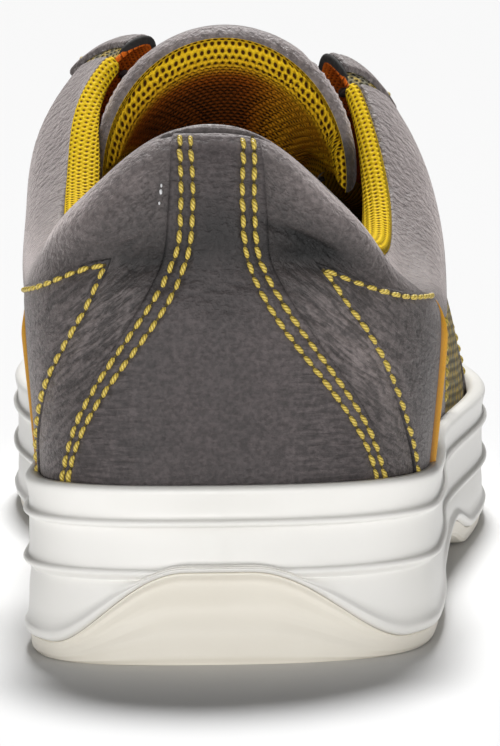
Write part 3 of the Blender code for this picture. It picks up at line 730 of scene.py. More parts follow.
looks = {
    leatherMaterial: {
        "greyLeather": {"slant": -40.0, "wrinkle": 0.36, "rough": 0.5, "sheen": 0.62,
                        "dark": (0.056, 0.047, 0.046), "light": (0.086, 0.073, 0.071)},
        "bellLeather": {"slant": 0.0, "wrinkle": 0.2, "rough": 0.55, "sheen": 0.55,
                        "dark": (0.047, 0.039, 0.039), "light": (0.071, 0.059, 0.059)},
        # The binding's pale grey is partly its own lighter leather, partly a painted highlight along the rim
        "bindingHighlightLeather": {"slant": 0.0, "wrinkle": 0.1, "rough": 0.42, "sheen": 0.6,
                           "dark": (0.22, 0.195, 0.19), "light": (0.30, 0.27, 0.265)},
    },
    meshMaterial: {
        "liningMesh": {"pitch": (1.3, 1.35), "hole": 0.15, "bump": 0.8, "dark": (0.80, 0.47, 0.005),
                       "light": (1.0, 0.74, 0.02), "gap": (0.14, 0.05, 0.002)},
        "tongueMesh": {"pitch": (1.4, 1.6), "hole": 0.23, "bump": 0.9, "dark": (0.72, 0.40, 0.006),
                       "light": (1.0, 0.72, 0.03), "gap": (0.05, 0.016, 0.002), "paintedShadeColour": (0.36, 0.085, 0.005)},
        "sideMesh": {"pitch": (1.9, 1.7), "hole": 0.2, "bump": 0.8, "dark": (0.13, 0.12, 0.09),
                     "light": (0.28, 0.26, 0.17), "gap": (0.03, 0.028, 0.022), "other": (0.66, 0.46, 0.08),
                     "mottle": 420.0},
        "vampMesh": {"pitch": (2.1, 1.9), "hole": 0.2, "bump": 0.8, "dark": (0.15, 0.14, 0.11),
                     "light": (0.28, 0.26, 0.18), "gap": (0.05, 0.045, 0.04), "other": (0.62, 0.43, 0.08),
                     "mottle": 420.0},
        # The facings' orange-red lining is the yellow lining coloured as it looks in shade: painted shade
        "orangeShadedLining": {"pitch": (1.6, 1.6), "hole": 0.12, "bump": 0.5, "dark": (0.72, 0.12, 0.01),
                         "light": (0.95, 0.24, 0.02), "gap": (0.25, 0.05, 0.008)},
    },
    soleMaterial: {
        "soleFoam": {"rough": 0.42, "dark": (0.85, 0.835, 0.795), "light": (0.89, 0.875, 0.84)},
        "treadRubber": {"rough": 0.5, "dark": (0.83, 0.78, 0.68), "light": (0.88, 0.835, 0.74)},
    },
    cordMaterial: {
        "yellowThread": {"turns": 3.0, "pitch": 0.8, "rough": 0.4, "depth": 0.0002,
                         "dark": (0.28, 0.19, 0.02), "light": (0.80, 0.61, 0.12)},
        # Orange piping: painted shade on one side of the cord, lit orange on the other
        "orangeClothSideShaded": {"turns": 0.118, "pitch": 400.0, "rough": 0.6, "depth": 0.0001,
                        "dark": (0.16, 0.045, 0.005), "light": (0.98, 0.50, 0.022)},
        "laceWeave": {"turns": 4.0, "pitch": 1.3, "rough": 0.75, "depth": 0.0004,
                      "dark": (0.05, 0.047, 0.046), "light": (0.15, 0.14, 0.138)},
    },
    edgeMaterial: {
        "cutEdge": {"rough": 0.8, "dark": (0.012, 0.011, 0.011), "light": (0.035, 0.032, 0.03)},
        "needleHoleShade": {"rough": 0.9, "dark": (0.05, 0.036, 0.008), "light": (0.12, 0.09, 0.02)},
        # Insole felt: partly its own dark colour, partly painted shade inside the shoe
        "shadedFootbedFelt": {"rough": 0.9, "dark": (0.035, 0.03, 0.028), "light": (0.07, 0.06, 0.055)},
        "eyeletBlack": {"rough": 0.4, "dark": (0.02, 0.02, 0.02), "light": (0.04, 0.04, 0.04)},
        "paleLint": {"rough": 0.95, "dark": (0.55, 0.55, 0.56), "light": (0.85, 0.85, 0.86)},
    },
}
made = {}
for maker, group in looks.items():
    made.update({name: newMaterial(name, maker, look) for name, look in group.items()})
print("materials made")


# Shell of the upper: mesh cloth outside, lining inside, closed at the rim and at the foot
shell = {"around": 300, "outerRows": 60, "innerRows": 36, "depth": 1.1, "orange": (75, 112)}
strap = {"foot": 77.0, "lean": 20.0, "half": 2.6, "from": 0.03, "to": 0.80}


# Share of the way up the side strap
def strapUp(share):
    return (share - strap["from"]) / (strap["to"] - strap["from"])


# Middle of the side strap: a straight lean from its foot to its top
def strapMiddle(share):
    return strap["foot"] + strap["lean"] * np.clip(strapUp(share), 0, 1)


# Millimetres round and up the skin, for a weave that follows it
def skinUv(degrees, share):
    return np.stack([np.sign(degrees) * edgeRun(degrees), share * ribLength(degrees)], -1)


def makeShell():
    turned = wrapped(evenAngles(shell["around"]))
    rows = (shell["outerRows"], shell["innerRows"])
    share = np.concatenate([np.linspace(0, 1, rows[0]), np.linspace(1, 0, rows[1])])
    depth = np.repeat([shell["depth"], shoe["wall"]], rows)
    degrees, share = np.meshgrid(turned, share)
    points = skinAt(degrees, share, -depth[:, None])
    quads = gridQuads(len(depth), len(turned), True, True)
    first = quads[:, 0]
    side = np.abs(degrees).ravel()[first]
    outside = np.where(side > strapMiddle(share.ravel()[first]), 1, 0)
    inside = np.where((side > shell["orange"][0]) & (side < shell["orange"][1]), 3, 2)
    faceSlot = np.where(first // len(turned) >= rows[0] - 1, inside, outside)
    cloths = ["sideMesh", "vampMesh", "liningMesh", "orangeShadedLining"]
    piece = makePiece("upperShell", points, quads, cloths, skinUv(degrees, share), faceSlot)
    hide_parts("upper")


# Quarter: one piece of leather round the heel, with an arm along the collar on both sides
quarter = {"columns": (250, 44), "rows": 120, "back": 40.0, "front": 80.0, "belowRim": 0.7,
           "sheet": {"lift": -1.08, "thick": 1.15, "round": 0.9}, "meshShows": 1.8,
           "fold": 1.0, "foldDepth": 0.85, "foldWidth": 0.3, "foldFades": (5, 11)}
quarterFoot = {"angle": (0, 31, 35, 38, 44, 50, 58, 66, 73, 78, 82),
               "share": (0.03, 0.03, 0.3, 0.56, 0.585, 0.60, 0.63, 0.69, 0.77, 0.85, 0.9)}


# Folded edge at the back of the collar: a groove at a height below the rim that fades out on both sides
def rimSeam(degrees, share):
    below = belowRim(degrees, share) - quarter["fold"]
    fade = 1 - smoothStep(*quarter["foldFades"], np.abs(degrees))
    return -quarter["foldDepth"] * bell(below, quarter["foldWidth"]) * fade


# Even columns at the back and edged ones in the arms, rows from the foot line to the rim, closer at the top
def makeQuarter():
    back, arm = quarter["columns"]
    reach = edgeRun(quarter["back"])
    middle = turnAt(np.linspace(-reach, reach, back))
    ahead = quarter["back"] + (quarter["front"] - quarter["back"]) * edgedShares(arm, 0.03)[6:]
    turned = np.concatenate([-ahead[::-1], middle, ahead])
    away = np.abs(turned)
    foot = np.interp(away, quarterFoot["angle"], quarterFoot["share"])
    top = rimStop(turned, quarter["belowRim"] + quarter["meshShows"] * smoothStep(36, 48, away))
    up = 1 - (1 - edgedShares(quarter["rows"], 0.012)[:, None]) ** 1.25
    share = foot + (top - foot) * up
    degrees = np.broadcast_to(turned, share.shape)
    # The fold's groove goes into the leather twice: as relief, and as painted shade along it
    fold = rimSeam(degrees, share)
    leatherPanel("quarterLeather", degrees, share, quarter["sheet"], creaseField(degrees, share) + fold, fold)


# Heel bell: a strap down the back that flares into the counter, half angles of its two seams and its edge
heelBell = {"columns": 120, "rows": 130, "from": 0.03, "belowRim": 3.8,
            "sheet": {"lift": 0.0, "thick": 0.6, "round": 0.8}, "groove": 0.3, "grooveWidth": 0.75}
bellSeam = {
    "share": (0.03, 0.11, 0.19, 0.26, 0.35, 0.455, 0.57, 0.65, 0.74, 0.84, 0.96),
    "inner": (19.1, 17.7, 15.8, 13.3, 9.5, 5.5, 2.7, 1.75, 1.55, 1.8, 2.95),
    "outer": (21.0, 19.4, 17.5, 15.3, 11.6, 7.4, 4.1, 2.8, 2.6, 3.0, 4.4),
    "edge": (22.4, 20.8, 18.9, 16.7, 13.0, 8.7, 5.3, 4.1, 4.0, 4.35, 5.7),
}


# Half angle of a seam or of the edge at a height: a spline through its table
def bellAngle(name, share):
    return splineThrough(bellSeam["share"], bellSeam[name], share)


# Height of the bell's face over the skin: lift plus thickness plus creases
def bellLift(degrees, share):
    return heelBell["sheet"]["lift"] + heelBell["sheet"]["thick"] + creaseField(degrees, share)



# Columns across the half angle of the edge, with a bell curve pressed in along both seams
def makeHeelBell():
    up = edgedShares(heelBell["rows"], 0.01)[:, None]
    across = 2 * edgedShares(heelBell["columns"], 0.022)[None] - 1
    top = rimStop(0.0, heelBell["belowRim"])
    share = heelBell["from"] + (top - heelBell["from"]) * up + 0 * across
    degrees = bellAngle("edge", share) * across
    scale = mmPerDegree(degrees, share)
    seams = sum(bell((np.abs(degrees) - bellAngle(row, share)) * scale, heelBell["grooveWidth"])
                for row in ("inner", "outer"))
    relief = creaseField(degrees, share) - heelBell["groove"] * seams
    leatherPanel("heelBell", degrees, share, heelBell["sheet"], relief, leather="bellLeather")


# Side panel: a wedge that points back, with a seam along its top and its rear edge
sidePanel = {"columns": 70, "rows": 90, "from": 0.03, "hem": 1.3, "mmPerDegree": 1.35, "ribLength": 75.0,
             "sheet": {"lift": 0.0, "thick": 0.65, "round": 0.8, "seam": 1.3, "groove": 0.2}}
sideSeams = {
    "outerSide": {"sign": 1, "rearShare": (0.03, 0.13, 0.177, 0.247, 0.34, 0.427, 0.497, 0.557, 0.626),
                  "rearAngle": (30.6, 28.6, 27.2, 24.8, 21.7, 18.7, 15.9, 13.0, 10.5),
                  "topAngle": (10.5, 14.0, 18.3, 24.8, 32.0, 38.0, 44.0),
                  "topShare": (0.626, 0.615, 0.609, 0.616, 0.645, 0.668, 0.69),
                  "front": (38.5, 39.5)},
    "innerSide": {"sign": -1, "rearShare": (0.03, 0.12, 0.197, 0.28, 0.36, 0.42, 0.49, 0.547, 0.632),
                  "rearAngle": (35.0, 33.2, 31.0, 27.4, 23.6, 20.2, 16.4, 13.8, 11.8),
                  "topAngle": (11.8, 15.0, 19.0, 24.5, 30.0, 36.0, 44.0),
                  "topShare": (0.633, 0.637, 0.637, 0.640, 0.656, 0.678, 0.70),
                  "front": (38.5, 39.5)},
}


# Wedge between rear, top and front edge: rear and front are mixed across, the top is followed upward
def makeSidePanel(name, seam):
    across = edgedShares(sidePanel["columns"], 0.02)[None]
    up = edgedShares(sidePanel["rows"], 0.016)[:, None]
    hemAngle = sidePanel["hem"] / sidePanel["mmPerDegree"]
    hemShare = sidePanel["hem"] / sidePanel["ribLength"]
    frontLow, frontTop = seam["front"]
    rearAt = sidePanel["from"] + (seam["rearShare"][-1] - sidePanel["from"]) * up
    rear = splineThrough(seam["rearShare"], seam["rearAngle"], rearAt) - hemAngle
    degrees = (1 - across) * rear + across * (frontLow + (frontTop - frontLow) * up)
    topRow = (1 - across) * (seam["rearAngle"][-1] - hemAngle) + across * frontTop
    top = splineThrough(seam["topAngle"], seam["topShare"], topRow) + hemShare
    share = sidePanel["from"] + (top - sidePanel["from"]) * up
    leatherPanel(name, seam["sign"] * degrees, share, sidePanel["sheet"])


# Piping: a round cord in orange cloth along the front edge of the side panel, thin at its top; its cloth is
# painted dark round one side as shade and bright on the other as lit
piping = {"from": 0.02, "to": 0.66, "ahead": 1.0, "radius": 1.35, "lift": 0.25, "thin": 0.85,
          "thinFrom": 0.54, "around": 12, "points": 80}


# Circles on the skin's normal and its cross product with the path
def makePiping(name, seam):
    share = np.linspace(piping["from"], piping["to"], piping["points"])
    low, top = seam["front"]
    degrees = seam["sign"] * (low + (top - low) * share / 0.64 + piping["ahead"])
    path = skinAt(degrees, share, piping["lift"])
    normal = skinLook("normal", degrees, share)
    run = np.gradient(path, axis=0)
    side = -seam["sign"] * unit(np.cross(run, normal))
    thin = piping["thin"] * smoothStep(piping["thinFrom"], piping["to"], share)
    size = piping["radius"] * (1 - thin)[:, None]
    points = ringsRound(path, size * side, size * normal, piping["around"])
    length = np.cumsum(np.linalg.norm(run, axis=1))
    uv = gridUv(circle(piping["around"])[None] * piping["radius"], length[:, None])
    makePiece(name, points, tubeQuads(*points.shape[:2]), ["orangeClothSideShaded"], uv)


# Height share of an edge at an angle, from a short table
def edgeShare(table, degrees):
    return splineThrough(table["angle"], table["share"], degrees)


# Angles round the toe, folded to one side
def folded(turned):
    return np.minimum(turned, 360 - turned)


# Panel round the toe from one side to the other, between two edges that are functions of the angle
def toePanel(name, sizes, lowEdge, topEdge):
    start = sizes["from"]
    turned = start + (360 - 2 * start) * edgedShares(sizes["columns"], 0.004)
    low, top = lowEdge(turned), topEdge(turned)
    share = low + (top - low) * edgedShares(sizes["rows"], sizes["tight"])[:, None]
    leatherPanel(name, np.broadcast_to(turned, share.shape), share, sizes["sheet"], 0.0)


# Eyestay: a strip along the throat, round its front, with the eyelets
eyestay = {"from": 82.2, "columns": 240, "rows": 30, "tight": 0.05, "belowRim": 1.3,
           "sheet": {"lift": -1.08, "thick": 1.25, "round": 0.9, "seam": 2.0, "groove": 0.22}}
eyestayFoot = {"angle": (82.2, 94, 103, 115, 132, 155, 180),
               "share": (0.80, 0.77, 0.75, 0.74, 0.77, 0.83, 0.85)}


def makeEyestay():
    toePanel("eyestay", eyestay, lambda turned: edgeShare(eyestayFoot, folded(turned)),
             lambda turned: rimStop(turned, eyestay["belowRim"]))


# Toe cap: leather over the toes, its rear edge an arch from sole to sole
toeCap = {"from": 113.0, "columns": 130, "rows": 56, "tight": 0.014, "foot": 0.03,
          "sheet": {"lift": -1.08, "thick": 1.3, "round": 1.0, "seam": 2.0, "groove": 0.22}}
toeCapTop = {"angle": (113, 118, 126, 140, 160, 180), "share": (0.10, 0.25, 0.385, 0.49, 0.535, 0.545)}


def makeToeCap():
    toePanel("toeCap", toeCap, lambda turned: toeCap["foot"],
             lambda turned: edgeShare(toeCapTop, folded(turned)))


# Side strap: leans from the sole up to the eyestay and narrows upward
strapSheet = {"lift": -1.08, "thick": 1.2, "round": 0.8, "seam": 1.8, "groove": 0.2}


# Half width of the side strap, falling evenly upward
def strapHalf(up):
    return strap["half"] * (1.5 - 0.5 * up)


def makeStrap(name, sign):
    up = edgedShares(70, 0.01)[:, None]
    across = 2 * edgedShares(16, 0.06)[None] - 1
    share = strap["from"] + (strap["to"] - strap["from"]) * up + 0 * across
    degrees = sign * (strapMiddle(share) + strapHalf(up) * across)
    leatherPanel(name, degrees, share, strapSheet, 0.0)


# Edge roll along the rim: an ellipse carried round, set inside the face by its own half width
def rimRoll(name, turned, roll, cloths, faceSlot=None):
    rim = skinAt(turned, 1.0)
    normal = skinLook("normal", turned, 0.995)
    up = unit(rim - skinAt(turned, 0.985))
    inset, down, wide, high = (np.broadcast_to(roll[key], turned.shape)[:, None]
                               for key in ("in", "down", "wide", "high"))
    centre = rim - normal * inset - up * down
    end = np.minimum(np.arange(len(turned)), np.arange(len(turned))[::-1])
    size = rounded(end / 4.0, 1.0)[:, None] * 0.98 + 0.02
    points = ringsRound(centre, size * normal * wide, size * up * high, roll["around"])
    girth = np.cumsum(np.linalg.norm(np.diff(points, axis=1, prepend=points[:, -1:]), axis=2), axis=1)
    uv = gridUv(runAlong(centre)[:, None], girth)
    quads = tubeQuads(len(turned), roll["around"])
    section, place = np.divmod(quads[:, 0], roll["around"])
    index = None if faceSlot is None else faceSlot(turned[section], circle(roll["around"])[place])
    makePiece(name, points, quads, cloths, uv, index)


# At the back the roll is the leather's folded edge; along the sides it grows into the padded mesh edge
def collarRoll(turned):
    away = np.abs(turned)
    grow = smoothStep(34, 56, away) * (1 - 0.6 * smoothStep(64, 80, away))
    return {"around": 20, "in": 1.1 + 2.0 * grow, "down": 0.35 + 1.15 * grow, "wide": 1.2 + 2.1 * grow,
            "high": 0.75 + 1.95 * grow}


# Leather on the outer side of the roll at the back, mesh elsewhere
def collarCloth(degrees, turn):
    leather = (np.abs(degrees) < 42) & (np.cos(turn) > -0.2)
    return np.where(leather, 0, 1)


facingRoll = {"around": 14, "in": 1.1, "down": 0.35, "wide": 1.0, "high": 0.6}


# Collar padding: outside it follows the upper's inner face, inside a cubic curve swells toward the foot
collar = {"end": 74.0, "from": 0.46, "columns": 260, "outerRows": 14, "liningRows": 52, "footThick": 1.6,
          "rimClear": 0.5, "swell": 3.0, "pull": 0.35}


def makeCollarLining():
    ends = collar["end"]
    turned = ends * (2 * edgedShares(collar["columns"], 0.008) - 1)
    share = np.linspace(1, collar["from"], collar["outerRows"])
    inner = shoe["wall"] + shoe["gap"]
    outer = skinAt(turned[:, None], share[None], -(inner + collar["rimClear"] * (share > 0.97)))
    edge = outer[:, 0]
    foot = skinAt(turned, collar["from"], -(inner + collar["footThick"]))
    inward = -np.concatenate([outward(turned), np.zeros((len(turned), 1))], -1)
    drop = (edge[:, 2:] - foot[:, 2:]) * collar["pull"] * np.array([0, 0, 1.0])
    upper = edge - drop + inward * collar["swell"]
    lower = foot + drop + inward * collar["swell"] * 0.5
    t = np.linspace(0, 1, collar["liningRows"])[None, ::-1, None]
    weights = ((1 - t) ** 3, 3 * t * (1 - t) ** 2, 3 * t * t * (1 - t), t ** 3)
    lining = sum(weight * pull[:, None] for weight, pull in zip(weights, (edge, upper, lower, foot)))
    section = np.concatenate([outer, lining[:, :-1]], axis=1)
    returned = np.linspace(0, len(share) - 1, collar["liningRows"] - 1).astype(int)
    back = np.concatenate([outer, outer[:, ::-1][:, returned]], axis=1)
    taper = rounded((ends - np.abs(turned)) * 1.6, 3.0)[:, None, None]
    points = back + (section - back) * (0.05 + 0.95 * taper)
    uv = gridUv((np.sign(turned) * edgeRun(turned))[:, None], runAlong(points, 1))
    quads = tubeQuads(*points.shape[:2])
    piece = makePiece("collarLining", points, quads, ["liningMesh"], uv)
    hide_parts("collar_padding")


# Tongue: an elliptic arch along a ridge; face and lining are two halves of a pillow about its middle layer
tongue = {"turn": 84.0, "wing": 16.0, "edge": 4.0, "middle": 8.0, "rows": 150, "faceRows": 60, "columns": 170,
          "roll": 3.8, "rim": 2.4, "sideRim": 2.2, "holeDepth": 0.5, "shadeFrom": 2.0, "shadeTo": 15.0,
          "rightLit": 1.15, "tone": 1.4, "wingShade": 1.9, "pucker": 0.2, "coreShade": 0.7}
tongueFolds = {
    "share": (0.00, 0.22, 0.45, 0.68, 0.85, 1.00),
    "ridgeX": (-5.2, -5.0, -4.6, -4.0, -4.0, -4.2),
    "ridgeY": (201.0, 178.0, 153.0, 128.0, 110.0, 96.0),
    "ridgeZ": (71.4, 77.0, 89.0, 101.4, 110.4, 116.2),
    "halfWidth": (13.0, 16.5, 20.0, 23.0, 26.0, 27.0),
    "arch": (3.0, 7.0, 12.0, 19.0, 26.0, 30.0),
    "lean": (0.0, 2.0, 4.0, 6.0, 6.0, 5.0),
}


# Arch by sine and cosine of an angle that opens at the top; the thickness falls as a cosine to the sides
def tongueLayers(share, across):
    names = ("ridgeX", "ridgeY", "ridgeZ", "halfWidth", "arch", "lean")
    ridgeX, ridgeY, ridgeZ, half, arch, lean = (
        splineThrough(tongueFolds["share"], tongueFolds[name], share)[:, None] for name in names)
    turn = np.radians(tongue["turn"] + tongue["wing"] * smoothStep(0.6, 1.0, share))[:, None] * across[None]
    outer = np.stack([ridgeX + half * np.sin(turn), ridgeY - lean * (1 - np.cos(turn)),
                      ridgeZ - arch * (1 - np.cos(turn))], -1)
    normal = unit(np.cross(np.gradient(outer, axis=1), np.gradient(outer, axis=0)))
    normal = normal * np.sign(normal[:, len(across) // 2, 2])[:, None, None]
    thick = tongue["edge"] + (tongue["middle"] - tongue["edge"]) * np.cos(across * math.pi / 2)[None]
    thick = thick * np.clip(share / 0.3, 0.35, 1)[:, None]
    return outer, normal, thick


# Staggered holes of the spacer mesh, as in its material: 1 in a hole, 0 on the yarn
def holeShare(uv, pitch, size):
    row = np.floor(uv[..., 1] / pitch[1])
    x = uv[..., 0] / pitch[0] + 0.5 * (row % 2)
    dx = x - np.floor(x) - 0.5
    dy = uv[..., 1] / pitch[1] - row - 0.5
    return 1 - smoothStep(size, size + 0.16, np.hypot(dx, dy))


# Middle layer of the tongue on a grid: half the thickness in from its outer face
def tongueGrid(rows):
    share = edgedShares(rows, 0.012)
    across = 2 * edgedShares(tongue["columns"], 0.012) - 1
    outer, normal, thick = tongueLayers(share, across)
    half = thick[..., None] / 2
    middle = outer - normal * half
    return share, across, middle, normal, half, borderDistance(middle)


# Face of the tongue: the outer half of the pillow, with puckers near its edge
def makeTongueLeather():
    share, across, middle, normal, half, edge = tongueGrid(tongue["faceRows"])
    pillow = rounded(edge, tongue["roll"])[..., None]
    waves = np.sin(across * 95 + 9 * np.sin(across * 11))
    fold = waves * (bell(across - 0.5, 0.25) + 0.6 * bell(across + 0.6, 0.25))
    pucker = tongue["pucker"] * fold[None] * bell(edge - 3.5, 2.2) * smoothStep(0.75, 0.9, share)[:, None]
    face = middle + normal * (half * pillow + pucker[..., None])
    wing = smoothStep(0.72, 0.84, across)[None] * smoothStep(0.7, 0.85, share)[:, None]
    points = np.stack([face, middle - normal * 0.02])
    # Painted highlight over the whole face by the tongue's tone, less the painted shade on its right wing
    values = {"tone": both(tongue["tone"] - tongue["wingShade"] * wing)}
    quads = sheetQuads(*edge.shape)
    leather = makePiece("tongueLeather", points, quads, ["greyLeather"], values=values)
    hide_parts("tongue")


# Lining of the tongue: the inner half, set in from a rim, with the holes of its mesh pressed in
def makeTongueLining():
    share, across, middle, normal, half, edge = tongueGrid(tongue["rows"])
    rim = tongue["rim"] + tongue["sideRim"] * smoothStep(0.25, 0.7, np.abs(across))[None]
    rim = rim * (1 - 0.85 * smoothStep(0.72, 0.86, across)[None] * smoothStep(0.6, 0.8, share)[:, None])
    belly = half[..., 0] * rounded(edge - rim, tongue["roll"])
    plain = middle - normal * (0.1 + belly)[..., None]
    centre = edge.shape[1] // 2
    u = runAlong(plain, 1)
    u = u - u[:, centre:centre + 1]
    v = runAlong(plain)
    v = v[-1:, :] - v
    uv = np.stack([u, v], -1)
    look = looks[meshMaterial]["tongueMesh"]
    holes = holeShare(uv, look["pitch"], look["hole"]) * smoothStep(0.2, 1.2, edge - rim)
    lining = plain + normal * (tongue["holeDepth"] * holes)[..., None]
    # Painted shade: the mesh turns to its shaded colour with distance from the edge, less on the lit right
    # side, and its core is darkened further
    reached = np.minimum(v, (1 - np.abs(across))[None] * 60)
    shade = smoothStep(tongue["shadeFrom"], tongue["shadeTo"], reached)
    shade = shade * (1 - 0.3 * smoothStep(0.1, 0.5, across))[None]
    rightLit = (1 - tongue["rightLit"] * smoothStep(0.0, 0.5, across))[None]
    values = {"shade": both(shade), "tone": both(-tongue["coreShade"] * smoothStep(6, 22, reached) * rightLit)}
    points = np.stack([lining, middle - normal * 0.05])
    quads = sheetQuads(*edge.shape)
    mesh = makePiece("tongueLining", points, quads, ["tongueMesh"], both(uv), values=values)


makeShell()
makeQuarter()
makeHeelBell()
makeSidePanel("sidePanelOuter", sideSeams["outerSide"])
makeSidePanel("sidePanelInner", sideSeams["innerSide"])
makeEyestay()
makeToeCap()
makeStrap("sideStrapOuter", 1)
makeStrap("sideStrapInner", -1)
backRun = edgeRun(40.0)
sideAngles = np.linspace(40.6, 80.5, 110)
rimAngles = np.concatenate([-sideAngles[::-1], turnAt(np.linspace(-backRun, backRun, 220)), sideAngles])
rimRoll("collarEdge", rimAngles, collarRoll(rimAngles), ["bindingHighlightLeather", "liningMesh"], collarCloth)
rimRoll("facingEdge", np.linspace(80.8, 279.2, 260), facingRoll, ["cutEdge"])
makePiping("sidePipingOuter", sideSeams["outerSide"])
makePiping("sidePipingInner", sideSeams["innerSide"])
makeCollarLining()
makeTongueLeather()
makeTongueLining()
print("upper done")

# Sole: cup with two ridges round its wall, a wave at the back between it and the tread
sole = {"around": 520, "plate": 6.0, "plateInset": 9.0, "rimHeight": 3.4, "waveHeight": 13.9, "waveFlat": 6.0,
        "waveReach": 38.5, "waveSkew": 1.8, "heelBevel": 0.1, "heelBevelLength": 12.0, "archRise": 5.5,
        "archFrom": 88.0, "archTo": 158.0, "toeSpring": 11.0, "springFrom": 226.0}
wallRows = {  # drop below the lip and inset from the outline, from the lower ridge up over the lip
    "drop": (17.4, 16.7, 16.0, 15.3, 14.7, 11.4, 8.0, 7.4, 6.8, 6.2, 5.6, 3.2, 1.4, 0.5, 0.0),
    "inset": (1.35, 0.35, -0.3, 0.1, 0.75, 0.85, 0.75, 0.1, -0.3, 0.15, 0.85, 0.55, 0.15, 0.35, 1.1),
}


# Underside of the tread: bevel at the heel, arch, flat ball, toe spring
def treadBottom(y):
    bevel = sole["heelBevel"] * np.clip(1 - y / sole["heelBevelLength"], 0, 1) ** 2
    arch = np.sin(math.pi * np.clip((y - sole["archFrom"]) / (sole["archTo"] - sole["archFrom"]), 0, 1)) ** 2
    spring = (np.clip(y - sole["springFrom"], 0, None) / (shoe["length"] - sole["springFrom"])) ** 2
    return bevel + sole["archRise"] * arch + sole["toeSpring"] * spring


# Share of the wave: a cosine fall on both sides of a flat top
def waveShare(degrees):
    reach = sole["waveReach"] + sole["waveSkew"] * np.sign(np.sin(np.radians(degrees)))
    fall = np.clip((edgeRun(degrees) - sole["waveFlat"]) / (reach - sole["waveFlat"]), 0, 1)
    return 0.5 + 0.5 * np.cos(math.pi * fall)


# Rise of the tread's underside ahead of the heel
def treadRise(degrees):
    y = stationAt(degrees)
    return treadBottom(y) * (y > sole["archFrom"])


# Upper edge of the tread: its rim plus the wave plus the rise
def treadTop(degrees):
    return sole["rimHeight"] + sole["waveHeight"] * waveShare(degrees) + treadRise(degrees)


# Loop on the skin, lifted, where each rib reaches a height
def skinAtHeight(degrees, height, lift):
    share = np.linspace(0, 0.5, 161)
    grid = skinAt(degrees[:, None], share[None], lift)
    offset = 1000.0 * np.arange(len(degrees))
    known = (np.maximum.accumulate(grid[..., 2], axis=1) + offset[:, None]).ravel()
    axes = [np.interp(height + offset, known, grid[..., axis].ravel()) for axis in (0, 1)]
    return np.stack(axes + [height], -1)


# Cup of the sole, loop by loop: plate, edge over the tread, scooped wall with a bead, ridges, lip and ledge
cup = {"clear": 0.48, "mould": 0.22, "mouldWidth": 0.55, "lowRows": 22, "rows": 58, "bead": 0.55,
       "hollow": 0.6, "edge": ((2.4, -0.3), (1.0, -0.28), (0.35, -0.05), (0.05, 0.3)), "above": 0.9,
       "lipDrop": 0.25}


def makeMidsole():
    degrees = evenAngles(sole["around"])
    lip, ledge = (along(levels, name, stationAt(degrees)) for name in ("lip", "ledge"))
    split = treadTop(degrees) + cup["clear"]
    knots = np.linspace(0, 1, len(wallRows["drop"]))
    fine = np.linspace(0, 1, cup["rows"])
    drop, inset = (splineThrough(knots, wallRows[name], fine) for name in ("drop", "inset"))
    mould = cup["mould"] * bell(edgeRun(degrees), cup["mouldWidth"])
    loops = [ringAt(degrees, sole["plateInset"], sole["plate"] + treadRise(degrees) + shoe["gap"])]
    loops += [ringAt(degrees, edge, split + lift) for edge, lift in cup["edge"]]
    lowTop = np.maximum(lip - drop[0], split + cup["above"])
    for share in np.linspace(0.08, 0.96, cup["lowRows"]):
        height = split + 0.5 + (lowTop - split - 0.5) * share
        bead = cup["bead"] * bell(height - split - 1.0, 1.0)
        hollow = cup["hollow"] * smoothStep(0.05, 0.4, share) * (1 - share)
        loops.append(ringAt(degrees, 0.35 + (inset[0] - 0.35) * share ** 3 + hollow - bead - mould, height))
    for k in range(len(drop)):
        height = np.maximum(lip - drop[k], split + cup["above"] + 0.03 * k)
        loops.append(ringAt(degrees, inset[k] - mould, height))
    top = skinAtHeight(degrees, lip - cup["lipDrop"], shoe["gap"])
    loops += [top * 0.5 + loops[-1] * 0.5 + np.array([0, 0, 0.15]), top]
    loops += [skinAtHeight(degrees, height, shoe["gap"]) for height in ((lip + ledge) / 2, ledge)]
    loops.append(ringAt(degrees, shoe["footInset"] + shoe["wall"], ledge))
    points = np.array(loops)
    piece = makePiece("midsoleCup", points, tubeQuads(*points.shape[:2]), ["soleFoam"])
    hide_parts("midsole")


# Tread: scooped wall under the wave, and lugs below, cut by bowed grooves and fine sipes
treadCut = {"heel": (26.0, 40.0, 54.0, 68.0), "ball": tuple(range(166, 278, 14)), "width": 4.6, "depth": 3.4,
            "bow": 6.0, "margin": 13.0, "fine": 3.5, "fineDepth": 0.5, "columns": 61}
treadWall = {"height": (0.0, 0.09, 0.3, 0.62, 0.9, 1.0), "inset": (2.6, 1.7, 1.2, 1.1, 1.0, 0.9),
             "scoop": (0.5, 0.6, 1.0, 2.1, 1.3, 0.0), "rows": 44, "streak": 0.13}


# Deeper of the bowed bars and of the sipes, which are a cosine to the fourth power
def grooveDepth(x, y, middle, half):
    across = (x - middle) / half
    depth = np.zeros(x.shape)
    for line in treadCut["heel"] + treadCut["ball"]:
        away = np.abs(y - line - treadCut["bow"] * (0.5 - across ** 2)) - treadCut["width"] / 2
        depth = np.maximum(depth, treadCut["depth"] * (1 - smoothStep(-0.5, 0.4, away)))
    depth = depth * (1 - smoothStep(0.97, 1.03, np.abs(across)))
    sipe = 0.5 + 0.5 * np.cos(2 * math.pi * (y + 2.5 * np.abs(across)) / treadCut["fine"])
    return np.maximum(depth, treadCut["fineDepth"] * sipe ** 4 * (1 - smoothStep(0.9, 1.0, np.abs(across))))


